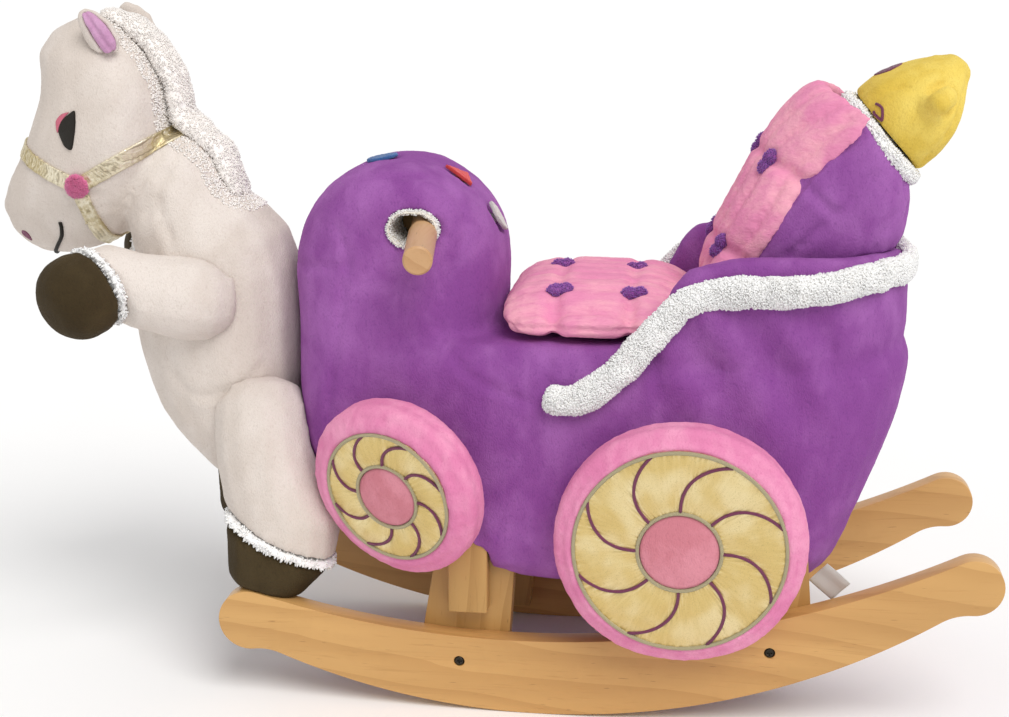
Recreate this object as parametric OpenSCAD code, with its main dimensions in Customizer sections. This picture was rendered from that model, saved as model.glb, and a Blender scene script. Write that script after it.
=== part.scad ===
// Plush horse-and-carriage rocking toy for one small child.
// Two maple bows carry four leg boards and a seat board. A stuffed carriage with
// four sewn-on cloth wheels sits on them, and a stuffed horse is sewn to its front.
// Frame: X runs along the bows to the rear (the horse faces -X), the horse's left
// is -Y, Z is up, and Z = 0 is the floor under the bows.

/* [Rocker bows] */
// Thickness of a bow board
bow_t = 18; // [14:1:24]
// Width over the outer faces of the two bows
frame_w = 215; // [190:1:240]
// Radius of the sole that rolls on the floor
sole_r = 554; // [500:2:620]
// X of the point that touches the floor
contact_x = 51; // [40:1:60]
// Depth of a bow at its middle
bow_depth = 61; // [52:1:70]
// Radius of the hollow top edge
top_r = 750; // [700:2:800]
// X of the lowest point of the top edge
top_x = 33; // [20:1:40]
// Radius of the rounded front ends of the bows
tip_front_r = 24.5; // [20:0.5:26]
// Radius of the rounded rear ends of the bows
tip_rear_r = 22; // [20:0.5:26]
// Angle of the rear end from the vertical, about the centre of the top edge
tip_rear_a = 27; // [26:0.1:29]
// Angle of the front end from the vertical, about the centre of the top edge
tip_front_a = 15.9; // [14:0.1:18]
// Radius of the blend between an end and the sole
tip_blend_r = 40; // [25:1:60]

/* [Leg boards and seat] */
// Thickness of the leg boards
leg_t = 18; // [12:1:20]
// Height of the underside of the seat board
seat_z = 166; // [160:1:176]
// Thickness of the seat board
seat_t = 12; // [9:1:18]
// Length of the seat board
seat_len = 348; // [340:1:352]
// Cut at the rear corners of the seat board
seat_cut = 18; // [12:1:30]
// Thickness of the glue blocks on the leg boards
block_t = 15; // [10:0.5:16]
// Width of the glue blocks along the bow
block_w = 31; // [24:1:40]
// Height of the foot of a glue block above the floor
block_z = 81; // [78:1:100]
// Depth of the two rails between the leg boards
rail_h = 42; // [30:1:45]
// Width of the board inside the backrest
back_w = 84; // [76:1:86]
// Thickness of the board inside the backrest
back_t = 12; // [9:1:15]

/* [Handles] */
// Diameter of a handle peg
peg_d = 22; // [18:0.5:25]
// Distance of the peg ends from the middle of the toy
peg_reach = 149; // [125:1:152]
// Angle by which a peg sweeps back towards the rider
peg_sweep = 7; // [0:0.5:9]
// Angle by which a peg droops towards its end
peg_droop = 5; // [0:0.5:6]
// Depth to which a peg is glued into the post
peg_seat = 20; // [14:1:24]
// Width of the post across the toy
post_w = 56; // [50:1:64]
// Length of the post along the toy
post_len = 49; // [44:1:50]
// Diameter of the round end of the cloth-lined hand hole
hole_d = 28; // [26:1:32]
// Distance between the two round ends of the hand hole
hole_run = 12; // [8:1:18]
// Thickness of the cloth that lines the hand hole
lining_t = 2; // [1.5:0.5:3]

/* [Song buttons] */
// Radius of the round shoulder of the column
arch_r = 84; // [78:1:86]
// Diameter of the round button
button_d = 25; // [20:1:28]
// Travel of a button
button_travel = 3; // [2:0.5:4]
// Gap around a moving button
button_gap = 1; // [0.6:0.1:1.5]
// Height of a button above the cloth at rest
button_rise = 1.5; // [1:0.5:2]

/* [Carriage] */
// Half width of the carriage at its widest
body_w = 114; // [110:0.5:118]
// Height of the deck under the seat cushion
deck_z = 297; // [290:1:302]
// Half thickness of the column at the hand holes
column_w = 78; // [72:1:84]
// Thickness of the side wings
wing_t = 27; // [20:1:32]
// Width of the fur trim
trim_h = 27; // [20:1:32]
// Thickness of the fur trim
trim_t = 17; // [12:1:20]

/* [Cushions] */
// Half width of the seat cushion
cushion_w = 94; // [86:1:98]
// Thickness of the seat cushion
cushion_t = 41; // [34:1:46]
// Radius of a tuft
tuft_r = 4.5; // [3.5:0.5:6]
// Length of a tuft over its round ends
tuft_len = 19; // [14:1:24]

/* [Wheels] */
// Diameter of a rear wheel
rear_wheel_d = 190; // [180:1:196]
// Diameter of a front wheel
front_wheel_d = 144; // [132:1:148]
// Thickness of a wheel
wheel_t = 36; // [30:1:38]
// Diameter of the gold face of a rear wheel
rear_face_d = 160; // [150:1:166]
// Diameter of the gold face of a front wheel
front_face_d = 108; // [100:1:112]
// Diameter of the hub of a rear wheel
rear_hub_d = 60; // [50:1:70]
// Diameter of the hub of a front wheel
front_hub_d = 50; // [42:1:56]
// Number of curved spokes sewn on a wheel
spokes = 8; // [6:1:10]
// Radius of the cord around a face
cord_r = 2; // [1.5:0.25:2.5]
// Width of a spoke
spoke_w = 3.4; // [2:0.2:5]

/* [Horse] */
// Half width of the barrel of the horse
horse_w = 64; // [58:1:70]
// Half width of the head at the cheeks
head_w = 60; // [54:1:66]
// Radius of the raised fore hooves
fore_hoof_r = 34; // [31:1:37]
// Thickness of a fur cuff
cuff_t = 8; // [6:1:10]
// Width of the bridle straps
strap_w = 15; // [10:1:18]
// Diameter of the pompoms on the bridle
pompom_d = 21; // [16:1:26]

/* [Hidden] */
// Gap left between pieces of cloth that are sewn face to face
ease = 0.3;
// Gap around wood where it passes into the stuffing
wood_ease = 0.3;
bow_in = frame_w / 2 - bow_t;
leg_in = bow_in - leg_t;
deck_top = seat_z + seat_t;
sole_c = [contact_x, sole_r];
top_c = [top_x, bow_depth + top_r];
tip_rear = top_c + (top_r + tip_rear_r) * [sin(tip_rear_a), -cos(tip_rear_a)];
tip_front = top_c + (top_r + tip_front_r) * [-sin(tip_front_a), -cos(tip_front_a)];
// Corners of the leg boards in side view, from the foot up: x at the foot, x at the top
front_leg = [[-48, -23], [26, 36], 16];
rear_leg = [[192, 203], [268, 257], 42];
screw_x = [-9, 233];
screw_head_d = 8;
screw_shank_d = 4.5;
arch_c = [-67.5, 342.5];
peg_root = [-49, 0, 384];
post_x = -55.5;
hole_c = [-46.5, 378.5];
button_y = -6;
// Direction of each button from the centre of the arch, in degrees from the vertical
circle_a = -11.5;
triangle_a = 34;
leaf_a = 64;
// Centre of each wheel, then the turn of its face to the front and its lean
front_wheel = [-53, -116.5, 188];
front_turn = 22;
front_lean = 12;
rear_wheel = [163, -frame_w / 2 - 23.5, 158];
rear_turn = 0;
rear_lean = 4;
soft_sides = 16;

// ---- Helpers ----

function unit(v) = v / norm(v);
function spow(x, p) = x == 0 ? 0 : sign(x) * pow(abs(x), p);
function blend(a, b, c, d, t) =
    0.5 * (2 * b + (c - a) * t + (2 * a - 5 * b + 4 * c - d) * t * t + (3 * b - a - 3 * c + d) * t * t * t);

// Stations along a spine, with extra ones between them on a smooth curve
function smooth(s, n = 2) = concat(
    [for (i = [0 : len(s) - 2], k = [0 : n - 1])
        blend(s[max(i - 1, 0)], s[i], s[i + 1], s[min(i + 2, len(s) - 1)], k / n)],
    [s[len(s) - 1]]);
function place(s) = [s[0], s[1], s[2]];
function along(s, i) = unit(place(s[min(i + 1, len(s) - 1)]) - place(s[max(i - 1, 0)]));

// One ring of a loft across the spine: half width r1 along the reference, r2 square to it
function ring(c, t, ref, r1, r2, e, sides) =
    let (u = unit(ref - (ref * t) * t), v = cross(t, u))
    [for (i = [0 : sides - 1]) let (a = 360 * (i + 0.5) / sides)
        c + u * r1 * spow(cos(a), 2 / e) + v * r2 * spow(sin(a), 2 / e)];

// A closed skin over a row of rings with as many points each
module skin(rings) {
    n = len(rings[0]);
    m = len(rings);
    points = [for (r = rings) each r];
    walls = [for (j = [0 : m - 2], i = [0 : n - 1])
        let (a = j * n + i, b = j * n + (i + 1) % n) each [[a, a + n, b + n], [a, b + n, b]]];
    ends = [[for (i = [0 : n - 1]) i], [for (i = [0 : n - 1]) m * n - 1 - i]];
    polyhedron(points, concat(walls, ends), convexity = 6);
}

// A stuffed shape along a spine. Each station is [x, y, z, half width, half depth, squareness].
// dome rounds the two ends by that much, and grow moves the whole skin outwards.
module stuffed(stations, ref = [0, 1, 0], n = 2, dome = [0, 0], grow = 0, sides = soft_sides) {
    s = smooth(stations, n);
    last = len(s) - 1;
    caps = [72, 42];
    rings = concat(
        [if (dome[0] > 0) for (a = caps)
            ring(place(s[0]) - along(s, 0) * (dome[0] + grow) * sin(a), along(s, 0), ref,
                (s[0][3] + grow) * cos(a), (s[0][4] + grow) * cos(a), s[0][5], sides)],
        [for (i = [0 : last])
            ring(place(s[i]), along(s, i), ref, s[i][3] + grow, s[i][4] + grow, s[i][5], sides)],
        [if (dome[1] > 0) for (k = [len(caps) - 1 : -1 : 0]) let (a = caps[k])
            ring(place(s[last]) + along(s, last) * (dome[1] + grow) * sin(a), along(s, last), ref,
                (s[last][3] + grow) * cos(a), (s[last][4] + grow) * cos(a), s[last][5], sides)]);
    skin(rings);
}

// A level slice of the carriage: superellipse from x0 to x1 with its widest place at xc
function slice(z, x0, x1, xc, w, e, grow = 0, sides = 28) =
    [for (i = [0 : sides - 1]) let (a = 360 * (i + 0.5) / sides, c = cos(a))
        [xc + (c > 0 ? x1 - xc + grow : xc - x0 + grow) * spow(c, 2 / e),
            (w + grow) * spow(sin(a), 2 / e), z]];

module mirrored(side) {
    if (side > 0) mirror([0, 1, 0]) children();
    else children();
}

// ---- Wood ----

// Centre of the concave curve that leads from the sole into a round end
function blend_c(tip, tip_r, side) =
    let (d = norm(tip - sole_c), u = (tip - sole_c) / d,
        r1 = tip_r + tip_blend_r, r2 = sole_r + tip_blend_r,
        reach = (r2 * r2 - r1 * r1 + d * d) / (2 * d))
    sole_c + u * reach + side * [u.y, -u.x] * sqrt(r2 * r2 - reach * reach);

function heading(from, to) = atan2(to.y - from.y, to.x - from.x);
function arc(c, r, a0, a1, steps) =
    [for (i = [0 : steps]) let (a = a0 + (a1 - a0) * i / steps) c + r * [cos(a), sin(a)]];

// Side view of a bow: crescent with round ends, tangent to the hollow top edge
module bow_profile() {
    cf = blend_c(tip_front, tip_front_r, -1);
    cr = blend_c(tip_rear, tip_rear_r, 1);
    polygon(concat(
        arc(sole_c, sole_r, heading(sole_c, cf), heading(sole_c, cr), 72),
        arc(cr, tip_blend_r, heading(cr, sole_c), heading(cr, tip_rear), 8),
        arc(tip_rear, tip_rear_r, heading(tip_rear, cr), heading(tip_rear, top_c), 24),
        arc(top_c, top_r, heading(top_c, tip_rear), heading(top_c, tip_front), 60),
        arc(tip_front, tip_front_r, heading(tip_front, top_c), heading(tip_front, cf) + 360, 24),
        arc(cf, tip_blend_r, heading(cf, tip_front), heading(cf, sole_c), 8)));
}

// Places a side-view drawing between two distances from the middle of the toy
module board(y0, y1) {
    translate([0, y1, 0]) rotate([90, 0, 0]) linear_extrude(y1 - y0) children();
}

module bow() {
    difference() {
        board(-frame_w / 2, -bow_in) bow_profile();
        for (x = screw_x) screw_hole(x);
    }
}

function screw_z(x) = x < contact_x ? 41 : 62;

module screw_hole(x) {
    translate([x, -frame_w / 2 - 1, screw_z(x)]) rotate([-90, 0, 0]) {
        cylinder(d = screw_shank_d + 2 * wood_ease, h = bow_t + 2, $fn = 24);
        cylinder(d = screw_head_d + 2 * wood_ease, h = 1 + 3.2, $fn = 32);
    }
}

module rocker_left() color([0.83, 0.67, 0.44]) bow();
module rocker_right() color([0.83, 0.67, 0.44]) mirror([0, 1, 0]) bow();

// Side view of a tapered leg board
module leg_outline(corners, grow = 0)
    polygon([[corners[0][0] - grow, corners[2]], [corners[1][0] + grow, corners[2]],
        [corners[1][1] + grow, seat_z], [corners[0][1] - grow, seat_z]]);

module leg(corners, x_screw) {
    difference() {
        board(-bow_in, -leg_in) leg_outline(corners);
        translate([x_screw, -bow_in - 1, screw_z(x_screw)]) rotate([-90, 0, 0])
            cylinder(d = screw_shank_d, h = leg_t, $fn = 24);
    }
}

module leg_front_left() color([0.85, 0.73, 0.52]) leg(front_leg, screw_x[0]);
module leg_front_right() color([0.85, 0.73, 0.52]) mirror([0, 1, 0]) leg(front_leg, screw_x[0]);
module leg_rear_left() color([0.85, 0.73, 0.52]) leg(rear_leg, screw_x[1]);
module leg_rear_right() color([0.85, 0.73, 0.52]) mirror([0, 1, 0]) leg(rear_leg, screw_x[1]);

block_x = [-18, 214];

module glue_blocks() color([0.9, 0.75, 0.55])
    for (side = [-1, 1], i = [0, 1]) {
        foot = i == 0 ? block_z : block_z + 31;
        translate([block_x[i], side < 0 ? -bow_in - block_t : bow_in, foot])
            cube([block_w, block_t, seat_z - foot]);
    }

rail_x = [-8, 222];

module cross_rails() color([0.85, 0.73, 0.52])
    for (x = rail_x) difference() {
        translate([x, -leg_in, seat_z - rail_h]) cube([leg_t, 2 * leg_in, rail_h]);
        for (y = [-40, 40]) translate([x + leg_t / 2, y, 0])
            cylinder(d = screw_shank_d, h = seat_z + 1, $fn = 24);
    }

// Top view of the seat board: a tongue under the post, full width over the legs, cut rear corners
module seat_outline(grow = 0) {
    x0 = post_x - post_len / 2 - 2 - grow;
    x1 = x0 + seat_len + 2 * grow;
    w = bow_in + grow;
    tongue = post_w / 2 + 4 + grow;
    polygon([[x0, -tongue], [x0 + 42, -w], [x1 - seat_cut, -w], [x1, -w + seat_cut],
        [x1, w - seat_cut], [x1 - seat_cut, w], [x0 + 42, w], [x0, tongue]]);
}

module seat_board() color([0.86, 0.75, 0.55])
    difference() {
        translate([0, 0, seat_z]) linear_extrude(seat_t) seat_outline();
        for (x = rail_x, y = [-40, 40])
            translate([x + leg_t / 2, y, seat_z - 1]) {
                cylinder(d = screw_shank_d + 2 * wood_ease, h = seat_t + 2, $fn = 24);
                translate([0, 0, 1 + seat_t - 3.2])
                    cylinder(d = screw_head_d + 2 * wood_ease, h = 4, $fn = 32);
            }
    }

// Wood screw with a domed, cross-slotted head. Its origin is the middle of the head, its shank runs along +Z
module wood_screw(length) {
    difference() {
        union() {
            translate([0, 0, -2.6]) cylinder(d1 = screw_head_d - 2, d2 = screw_head_d, h = 1, $fn = 32);
            translate([0, 0, -1.6]) cylinder(d = screw_head_d, h = 1.6, $fn = 32);
            cylinder(d = screw_shank_d, h = length - 5, $fn = 24);
            translate([0, 0, length - 5]) cylinder(d1 = screw_shank_d, d2 = 0.6, h = 5, $fn = 24);
        }
        for (a = [0, 90]) rotate(a) translate([-2.2, -0.5, -3]) cube([4.4, 1, 1.8]);
    }
}

module rocker_screws() color([0.35, 0.34, 0.3])
    for (side = [-1, 1], x = screw_x) mirrored(side)
        translate([x, -frame_w / 2 + 3.2, screw_z(x)]) rotate([-90, 0, 0]) wood_screw(30);

module frame_screws() color([0.6, 0.58, 0.52])
    for (x = rail_x, y = [-40, 40]) translate([x + leg_t / 2, y, deck_top - 3.2])
        rotate([180, 0, 0]) wood_screw(32);

// Places its children with +Z along a handle peg, from the middle of the post outwards to the left
module on_peg() {
    translate(peg_root) rotate([0, 0, peg_sweep]) rotate([90 + peg_droop, 0, 0]) children();
}
peg_len = peg_reach / cos(peg_sweep) / cos(peg_droop);
peg_inner = post_w / 2 - peg_seat;
peg_shoulder = column_w + 2;
peg_edge = 1.5;
tenon_d = peg_d - 2;

// A grip outside the cloth, with a thinner tenon through the stuffing into the post
module peg() {
    on_peg() {
        translate([0, 0, peg_inner]) cylinder(d = tenon_d, h = peg_shoulder - peg_inner, $fn = 64);
        translate([0, 0, peg_shoulder])
            cylinder(d = peg_d, h = peg_len - peg_shoulder - peg_edge, $fn = 64);
        translate([0, 0, peg_len - peg_edge])
            cylinder(d1 = peg_d, d2 = peg_d - 2 * peg_edge, h = peg_edge, $fn = 64);
    }
}
module handle_left() color([0.86, 0.69, 0.46]) peg();
module handle_right() color([0.86, 0.69, 0.46]) mirror([0, 1, 0]) peg();

post_top = peg_root.z + 16;

module handle_post() color([0.85, 0.73, 0.52])
    difference() {
        translate([post_x - post_len / 2, -post_w / 2, deck_top])
            cube([post_len, post_w, post_top - deck_top]);
        for (side = [-1, 1]) mirrored(side) on_peg() translate([0, 0, peg_inner])
            cylinder(d = tenon_d, h = peg_len, $fn = 64);
    }

back_foot = [206, 0, deck_top];
back_lean = 26;
back_len = 245;

module back_slab(grow = 0) {
    translate(back_foot) rotate([0, back_lean, 0])
        translate([-back_t / 2 - grow, -back_w / 2 - grow, 4 - grow])
            cube([back_t + 2 * grow, back_w + 2 * grow, back_len + 2 * grow]);
}

module back_board() color([0.86, 0.75, 0.55])
    difference() {
        back_slab();
        translate([0, -back_w, deck_top - 30]) cube([400, 2 * back_w, 30]);
    }

// ---- Sound unit and song buttons ----

sound_size = [30, 62, 74];
sound_at = [-141, 0, 262];
sound_wall = 2;
speaker_d = 40;

module sound_box(grow = 0)
    translate(sound_at + [0, -sound_size.y / 2, 0] - grow * [1, 1, 1])
        cube(sound_size + 2 * grow * [1, 1, 1]);

// Open tray with a ring of sound slots, closed by the battery door at the front
module sound_case() color([0.92, 0.92, 0.9])
    difference() {
        sound_box();
        translate(sound_at + [-1, -sound_size.y / 2 + sound_wall, sound_wall])
            cube(sound_size - [sound_wall - 1, 2 * sound_wall, 2 * sound_wall]);
        translate(sound_at + [0, 0, sound_size.z - speaker_d / 2 - 5]) rotate([0, 90, 0])
            for (a = [0 : 45 : 315]) rotate(a) translate([speaker_d / 4, 0, sound_size.x - sound_wall - 1])
                cylinder(d = 4, h = sound_wall + 2, $fn = 24);
    }

module battery_door() color([0.86, 0.86, 0.84])
    difference() {
        union() {
            translate(sound_at + [-sound_wall, -sound_size.y / 2, 0])
                cube([sound_wall, sound_size.y, sound_size.z]);
            translate(sound_at + [0, -sound_size.y / 2 + sound_wall + 0.2, 6])
                cube([1.5, sound_size.y - 2 * sound_wall - 0.4, sound_size.z - 12]);
        }
        for (y = [-22, 22]) translate(sound_at + [-sound_wall - 1, y, sound_size.z - 3.2])
            rotate([0, 90, 0]) cylinder(d = 3, h = 6, $fn = 24);
    }

module speaker() color([0.2, 0.2, 0.22])
    translate(sound_at + [sound_size.x - sound_wall, 0, sound_size.z - speaker_d / 2 - 5])
        rotate([0, -90, 0]) rotate_extrude($fn = 48)
            polygon([[3, 0], [14, 0], [speaker_d / 2, 0], [speaker_d / 2, 3], [16, 3.6], [12, 9], [12, 13],
                [0, 13], [0, 5], [3, 3.4]]);

cell_d = 10.5;
cell_len = 44;
// Two rows of cells lying across the floor of the tray
module battery_cells() color([0.75, 0.7, 0.35])
    for (k = [0, 1])
        translate(sound_at + [2 + (k + 0.5) * (cell_d + ease), -cell_len / 2, sound_wall + cell_d / 2])
        rotate([-90, 0, 0]) {
            cylinder(d = cell_d, h = cell_len, $fn = 32);
            translate([0, 0, cell_len]) cylinder(d = 3.5, h = 1, $fn = 24);
        }

pad_t = 3;
switch_t = 7;
stem_d = 8;
stem_len = 6;
// Distances from the centre of the arch: top of a pad at rest, and floor of its pocket
pad_r = arch_r + button_rise;
pocket_r = pad_r - pad_t - button_travel - ease - switch_t;

module on_arch(a) {
    translate([arch_c.x, button_y, arch_c.y]) rotate([0, a, 0]) children();
}

module circle_outline(grow = 0) circle(d = button_d + 2 * grow, $fn = 64);
module triangle_outline(grow = 0) rotate(200) circle(r = button_d * 0.62 + 2 * grow, $fn = 3);
module leaf_outline(grow = 0)
    rotate(24) intersection_for (s = [-1, 1])
        translate([0, s * button_d * 0.44]) circle(r = button_d * 0.74 + grow, $fn = 64);

module song_button(a) {
    on_arch(a) {
        translate([0, 0, pad_r - pad_t]) linear_extrude(pad_t) children();
        translate([0, 0, pad_r - pad_t - stem_len]) cylinder(d = stem_d, h = stem_len + 1, $fn = 32);
    }
}

module song_button_circle() color([0.2, 0.4, 0.72]) song_button(circle_a) circle_outline();
module song_button_triangle() color([0.85, 0.15, 0.22]) song_button(triangle_a) triangle_outline();
module song_button_leaf() color([0.93, 0.92, 0.9]) song_button(leaf_a) leaf_outline();

module button_switches() color([0.3, 0.3, 0.32])
    for (a = [circle_a, triangle_a, leaf_a]) on_arch(a)
        translate([0, 0, pocket_r]) difference() {
            cylinder(d = stem_d + 8, h = switch_t, $fn = 48);
            translate([0, 0, 1]) cylinder(d = stem_d + 1, h = switch_t, $fn = 32);
        }

// Room in the column for a pad, its travel and its switch
module button_pocket(a) {
    on_arch(a) {
        translate([0, 0, pocket_r]) cylinder(d = stem_d + 8 + 2 * ease, h = switch_t + 2, $fn = 48);
        translate([0, 0, pocket_r + switch_t - 0.5]) linear_extrude(40) children();
    }
}

// ---- Carriage ----

// Stadium outline of a hand hole, drawn in side view
module hole_outline(grow = 0) {
    for (s = [-1, 1]) translate(hole_c + [s * hole_run / 2, 0]) circle(d = hole_d + 2 * grow, $fn = 64);
    translate(hole_c) square([hole_run, hole_d + 2 * grow], center = true);
}

module hand_holes(grow = 0) {
    for (side = [-1, 1]) mirrored(side) board(-body_w - 40, -post_w / 2) hole_outline(grow);
}

module lining() {
    difference() {
        board(-column_w - 1, -post_w / 2 - ease) hole_outline(lining_t);
        board(-column_w - 10, -post_w / 2 + 1) hole_outline();
    }
}
module handle_lining_left() color([0.93, 0.92, 0.88]) lining();
module handle_lining_right() color([0.93, 0.92, 0.88]) mirror([0, 1, 0]) lining();

// Level slices of the belly: height, front, rear and half width as a share of body_w
belly_xc = 130;
belly = [
    [94, 70, 240, 0.40], [97, 38, 255, 0.55], [104, -12, 271, 0.73], [113, -52, 283, 0.87],
    [125, -88, 293, 0.965], [143, -116, 303, 0.995], [168, -134, 312, 1], [200, -146, 319, 0.99],
    [236, -151, 328, 0.97], [260, -152, 333, 0.945], [276, -151, 335, 0.925], [288, -149, 333, 0.88],
    [deck_z, -142, 324, 0.8]];

module belly_skin(grow = 0)
    skin([for (i = [0 : len(belly) - 1]) let (s = belly[i], end = i == 0 ? -1 : i == len(belly) - 1 ? 1 : 0)
        slice(s[0] + end * grow, s[1], s[2], belly_xc, s[3] * body_w, 2.9, grow)]);

// Half width of the column at a height over the centre of its arch
function column_half(t) = column_w * pow(max(0, 1 - pow(max(0, t), 6)), 0.36);

module column_skin(grow = 0) {
    low = [[150, -126, 10, 76], [200, -146, 14, 91], [250, -150, 14, 90], [300, -151, 15, 84]];
    skin(concat(
        [for (s = low) slice(s[0], s[1], s[2], arch_c.x, s[3], 3, grow)],
        [for (a = [0, 12, 24, 36, 48, 58, 67, 75, 81, 85.5])
            let (h = (arch_r + grow) * cos(a), z = arch_c.y + (arch_r + grow) * sin(a))
            slice(z, arch_c.x - h, arch_c.x + h, arch_c.x, column_half(sin(a)) + grow, 3)]));
}

module block_space(g)
    for (x = block_x) translate([x - g, -bow_in - block_t - g, 0])
        cube([block_w + 2 * g, block_t + g + 1, seat_z]);

// Space for the wooden frame inside the stuffing
module frame_space() {
    g = wood_ease;
    translate([0, 0, seat_z - g]) linear_extrude(seat_t + 2 * g) seat_outline(g);
    for (side = [-1, 1]) mirrored(side) {
        for (c = [front_leg, rear_leg]) board(-bow_in - g, -leg_in + g) leg_outline(c, g);
        block_space(g);
    }
    for (x = rail_x) translate([x - g, -leg_in - 1, seat_z - rail_h - g])
        cube([leg_t + 2 * g, 2 * leg_in + 2, rail_h + 2 * g]);
    translate([post_x - post_len / 2 - g, -post_w / 2 - g, deck_top - 1])
        cube([post_len + 2 * g, post_w + 2 * g, post_top - deck_top + 1 + g]);
    for (side = [-1, 1]) mirrored(side) on_peg() cylinder(d = peg_d + 1, h = peg_len + 10, $fn = 48);
    translate([-sound_wall - ease, 0, 0]) sound_box(ease);
    sound_box(ease);
    back_slab(g);
}

module carriage_body() color([0.5, 0.26, 0.62])
    difference() {
        union() {
            belly_skin();
            column_skin();
        }
        frame_space();
        hand_holes(lining_t + ease);
        button_pocket(circle_a) circle_outline(button_gap);
        button_pocket(triangle_a) triangle_outline(button_gap);
        button_pocket(leaf_a) leaf_outline(button_gap);
    }

// Side wall beside the seat, from its front corner round to the back: half height, then half thickness
wing = [
    [146, -97, 296, 16, 0.35, 2.4], [162, -95, 306, 33, 0.8, 2.7], [180, -92, 318, 44, 1, 3],
    [206, -89, 321, 47, 1, 3], [244, -85, 321, 47, 1, 3], [276, -75, 321, 47, 1, 3],
    [299, -58, 322, 46, 1, 3], [312, -36, 322, 45, 1, 3], [317, -14, 322, 44, 1, 3]];

module wing_skin(grow = 0)
    stuffed([for (s = wing) [s[0], s[1], s[2], s[3], s[4] * wing_t / 2, s[5]]],
        ref = [0, 0, 1], dome = [5, 0], grow = grow, sides = 12);

module side_wing() difference() {
    wing_skin();
    belly_skin(ease);
    back_slab(ease);
    translate([250, -ease / 2, 200]) cube([200, 60, 300]);
}
module side_wing_left() color([0.5, 0.26, 0.62]) side_wing();
module side_wing_right() color([0.5, 0.26, 0.62]) mirror([0, 1, 0]) side_wing();

// Middle line of the fur trim, on the outside of the belly and then of the wing
trim = [
    [61, -111, 262], [81, -113, 261], [107, -113, 277], [129, -112, 301], [147, -110, 322], [165, -107, 338],
    [190, -106, 344], [215, -105, 344], [244, -103, 346], [279, -92, 350], [303, -74, 353], [319, -50, 353],
    [327, -25, 353], [329, -1, 353]];

module trim_skin()
    stuffed([for (t = trim) [t.x, t.y, t.z, trim_h / 2, trim_t / 2, 2.2]],
        ref = [0, 0, 1], dome = [4, 0], sides = 8);

module fur_trim() difference() {
    trim_skin();
    belly_skin(ease);
    wing_skin(ease);
    backrest_skin(ease);
    translate([250, -ease / 2, 200]) cube([200, 60, 300]);
}
module fur_trim_left() color([0.9, 0.89, 0.84]) fur_trim();
module fur_trim_right() color([0.9, 0.89, 0.84]) mirror([0, 1, 0]) fur_trim();

// Level slices of the backrest: height, front, rear, half width
back_slices = [
    [deck_z + ease, 184, 300, 56], [318, 186, 306, 60], [350, 190, 312, 62], [378, 202, 323, 66],
    [405, 212, 324, 66], [435, 228, 322, 61], [475, 250, 320, 52]];
crown_at = [305, 0, 443];
crown_lean = 49;
band_t = 11;

module on_crown() {
    translate(crown_at) rotate([0, crown_lean, 0]) children();
}

module backrest_skin(grow = 0)
    skin([for (s = back_slices) slice(s[0], s[1], s[2], (s[1] + s[2]) / 2, s[3], 3, grow)]);

module backrest() color([0.48, 0.25, 0.6])
    difference() {
        backrest_skin();
        for (side = [-1, 1]) mirrored(side) wing_skin(ease);
        back_cushion_skin(ease);
        back_slab(wood_ease);
        on_crown() translate([-150, -150, -ease]) cube([300, 300, 200]);
    }

// ---- Cushions ----

// Half thickness and half width of the seat cushion along the seat
seat_pad = [[26, 0.62, 0.84], [38, 0.9, 0.95], [70, 1, 1], [105, 1, 1], [138, 0.94, 0.95], [158, 0.7, 0.84]];

module seat_cushion_skin(grow = 0)
    stuffed([for (s = seat_pad) let (h = s[1] * cushion_t / 2)
        [s[0], 0, deck_z + ease + h, s[2] * cushion_w, h, 3]], dome = [6, 8], grow = grow, sides = 20);

// Where the tufts lie on the seat: x, y
tuft_seat = [[58, 26], [64, -58], [118, 26], [121, -58]];

module tuft(grow = 0) {
    run = tuft_len / 2 - tuft_r;
    rotate([0, 90, 0]) cylinder(r = tuft_r + grow, h = 2 * run, center = true, $fn = 32);
    for (s = [-1, 1]) translate([s * run, 0, 0]) sphere(r = tuft_r + grow, $fn = 32);
}

// Places children lying across the seat
module on_seat_tufts()
    for (p = tuft_seat) translate([p.x, p.y, deck_z + cushion_t - 1.5]) rotate(12) children();

module seat_cushion() color([0.93, 0.53, 0.73])
    difference() {
        seat_cushion_skin();
        on_seat_tufts() tuft(ease);
        for (side = [-1, 1]) mirrored(side) wing_skin(ease);
    }
module seat_tufts() color([0.5, 0.26, 0.62]) on_seat_tufts() tuft();

// Stations up the back cushion: x, z, half width, half thickness. It is pinched at its waist
back_pad = [
    [170, 341, 52, 14], [188, 368, 64, 19], [203, 395, 62, 18], [219, 423, 50, 13],
    [238, 447, 66, 23], [252, 469, 68, 25], [261, 482, 58, 21]];

module back_cushion_skin(grow = 0)
    stuffed([for (s = back_pad) [s[0], 0, s[1], s[2], s[3], 3]], dome = [8, 9], grow = grow, sides = 20);

// Where the tufts lie up the back: x, z, y
tuft_back = [[194, 387, 21], [197, 381, -21], [222, 442, 21], [226, 436, -21]];

// Places children lying across the back
module on_back_tufts()
    for (p = tuft_back) translate([p.x - 10, p.z, p.y + 6]) rotate([0, -60, 0]) children();

module back_cushion() color([0.93, 0.53, 0.73])
    difference() {
        back_cushion_skin();
        seat_cushion_skin(ease);
        on_back_tufts() tuft(ease);
    }
module back_tufts() color([0.5, 0.26, 0.62]) on_back_tufts() tuft();

// ---- Crown ----

crown_stations = [[-5, 12, 46, 38], [-5, 26, 50, 38], [-6, 44, 48, 34], [-8, 62, 38, 25], [-9, 76, 24, 14]];

module crown_skin(grow = 0)
    stuffed([for (s = crown_stations) [s[0], 0, s[1] - 6, s[2], s[3], 2.3]], dome = [0, 9], grow = grow);

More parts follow.
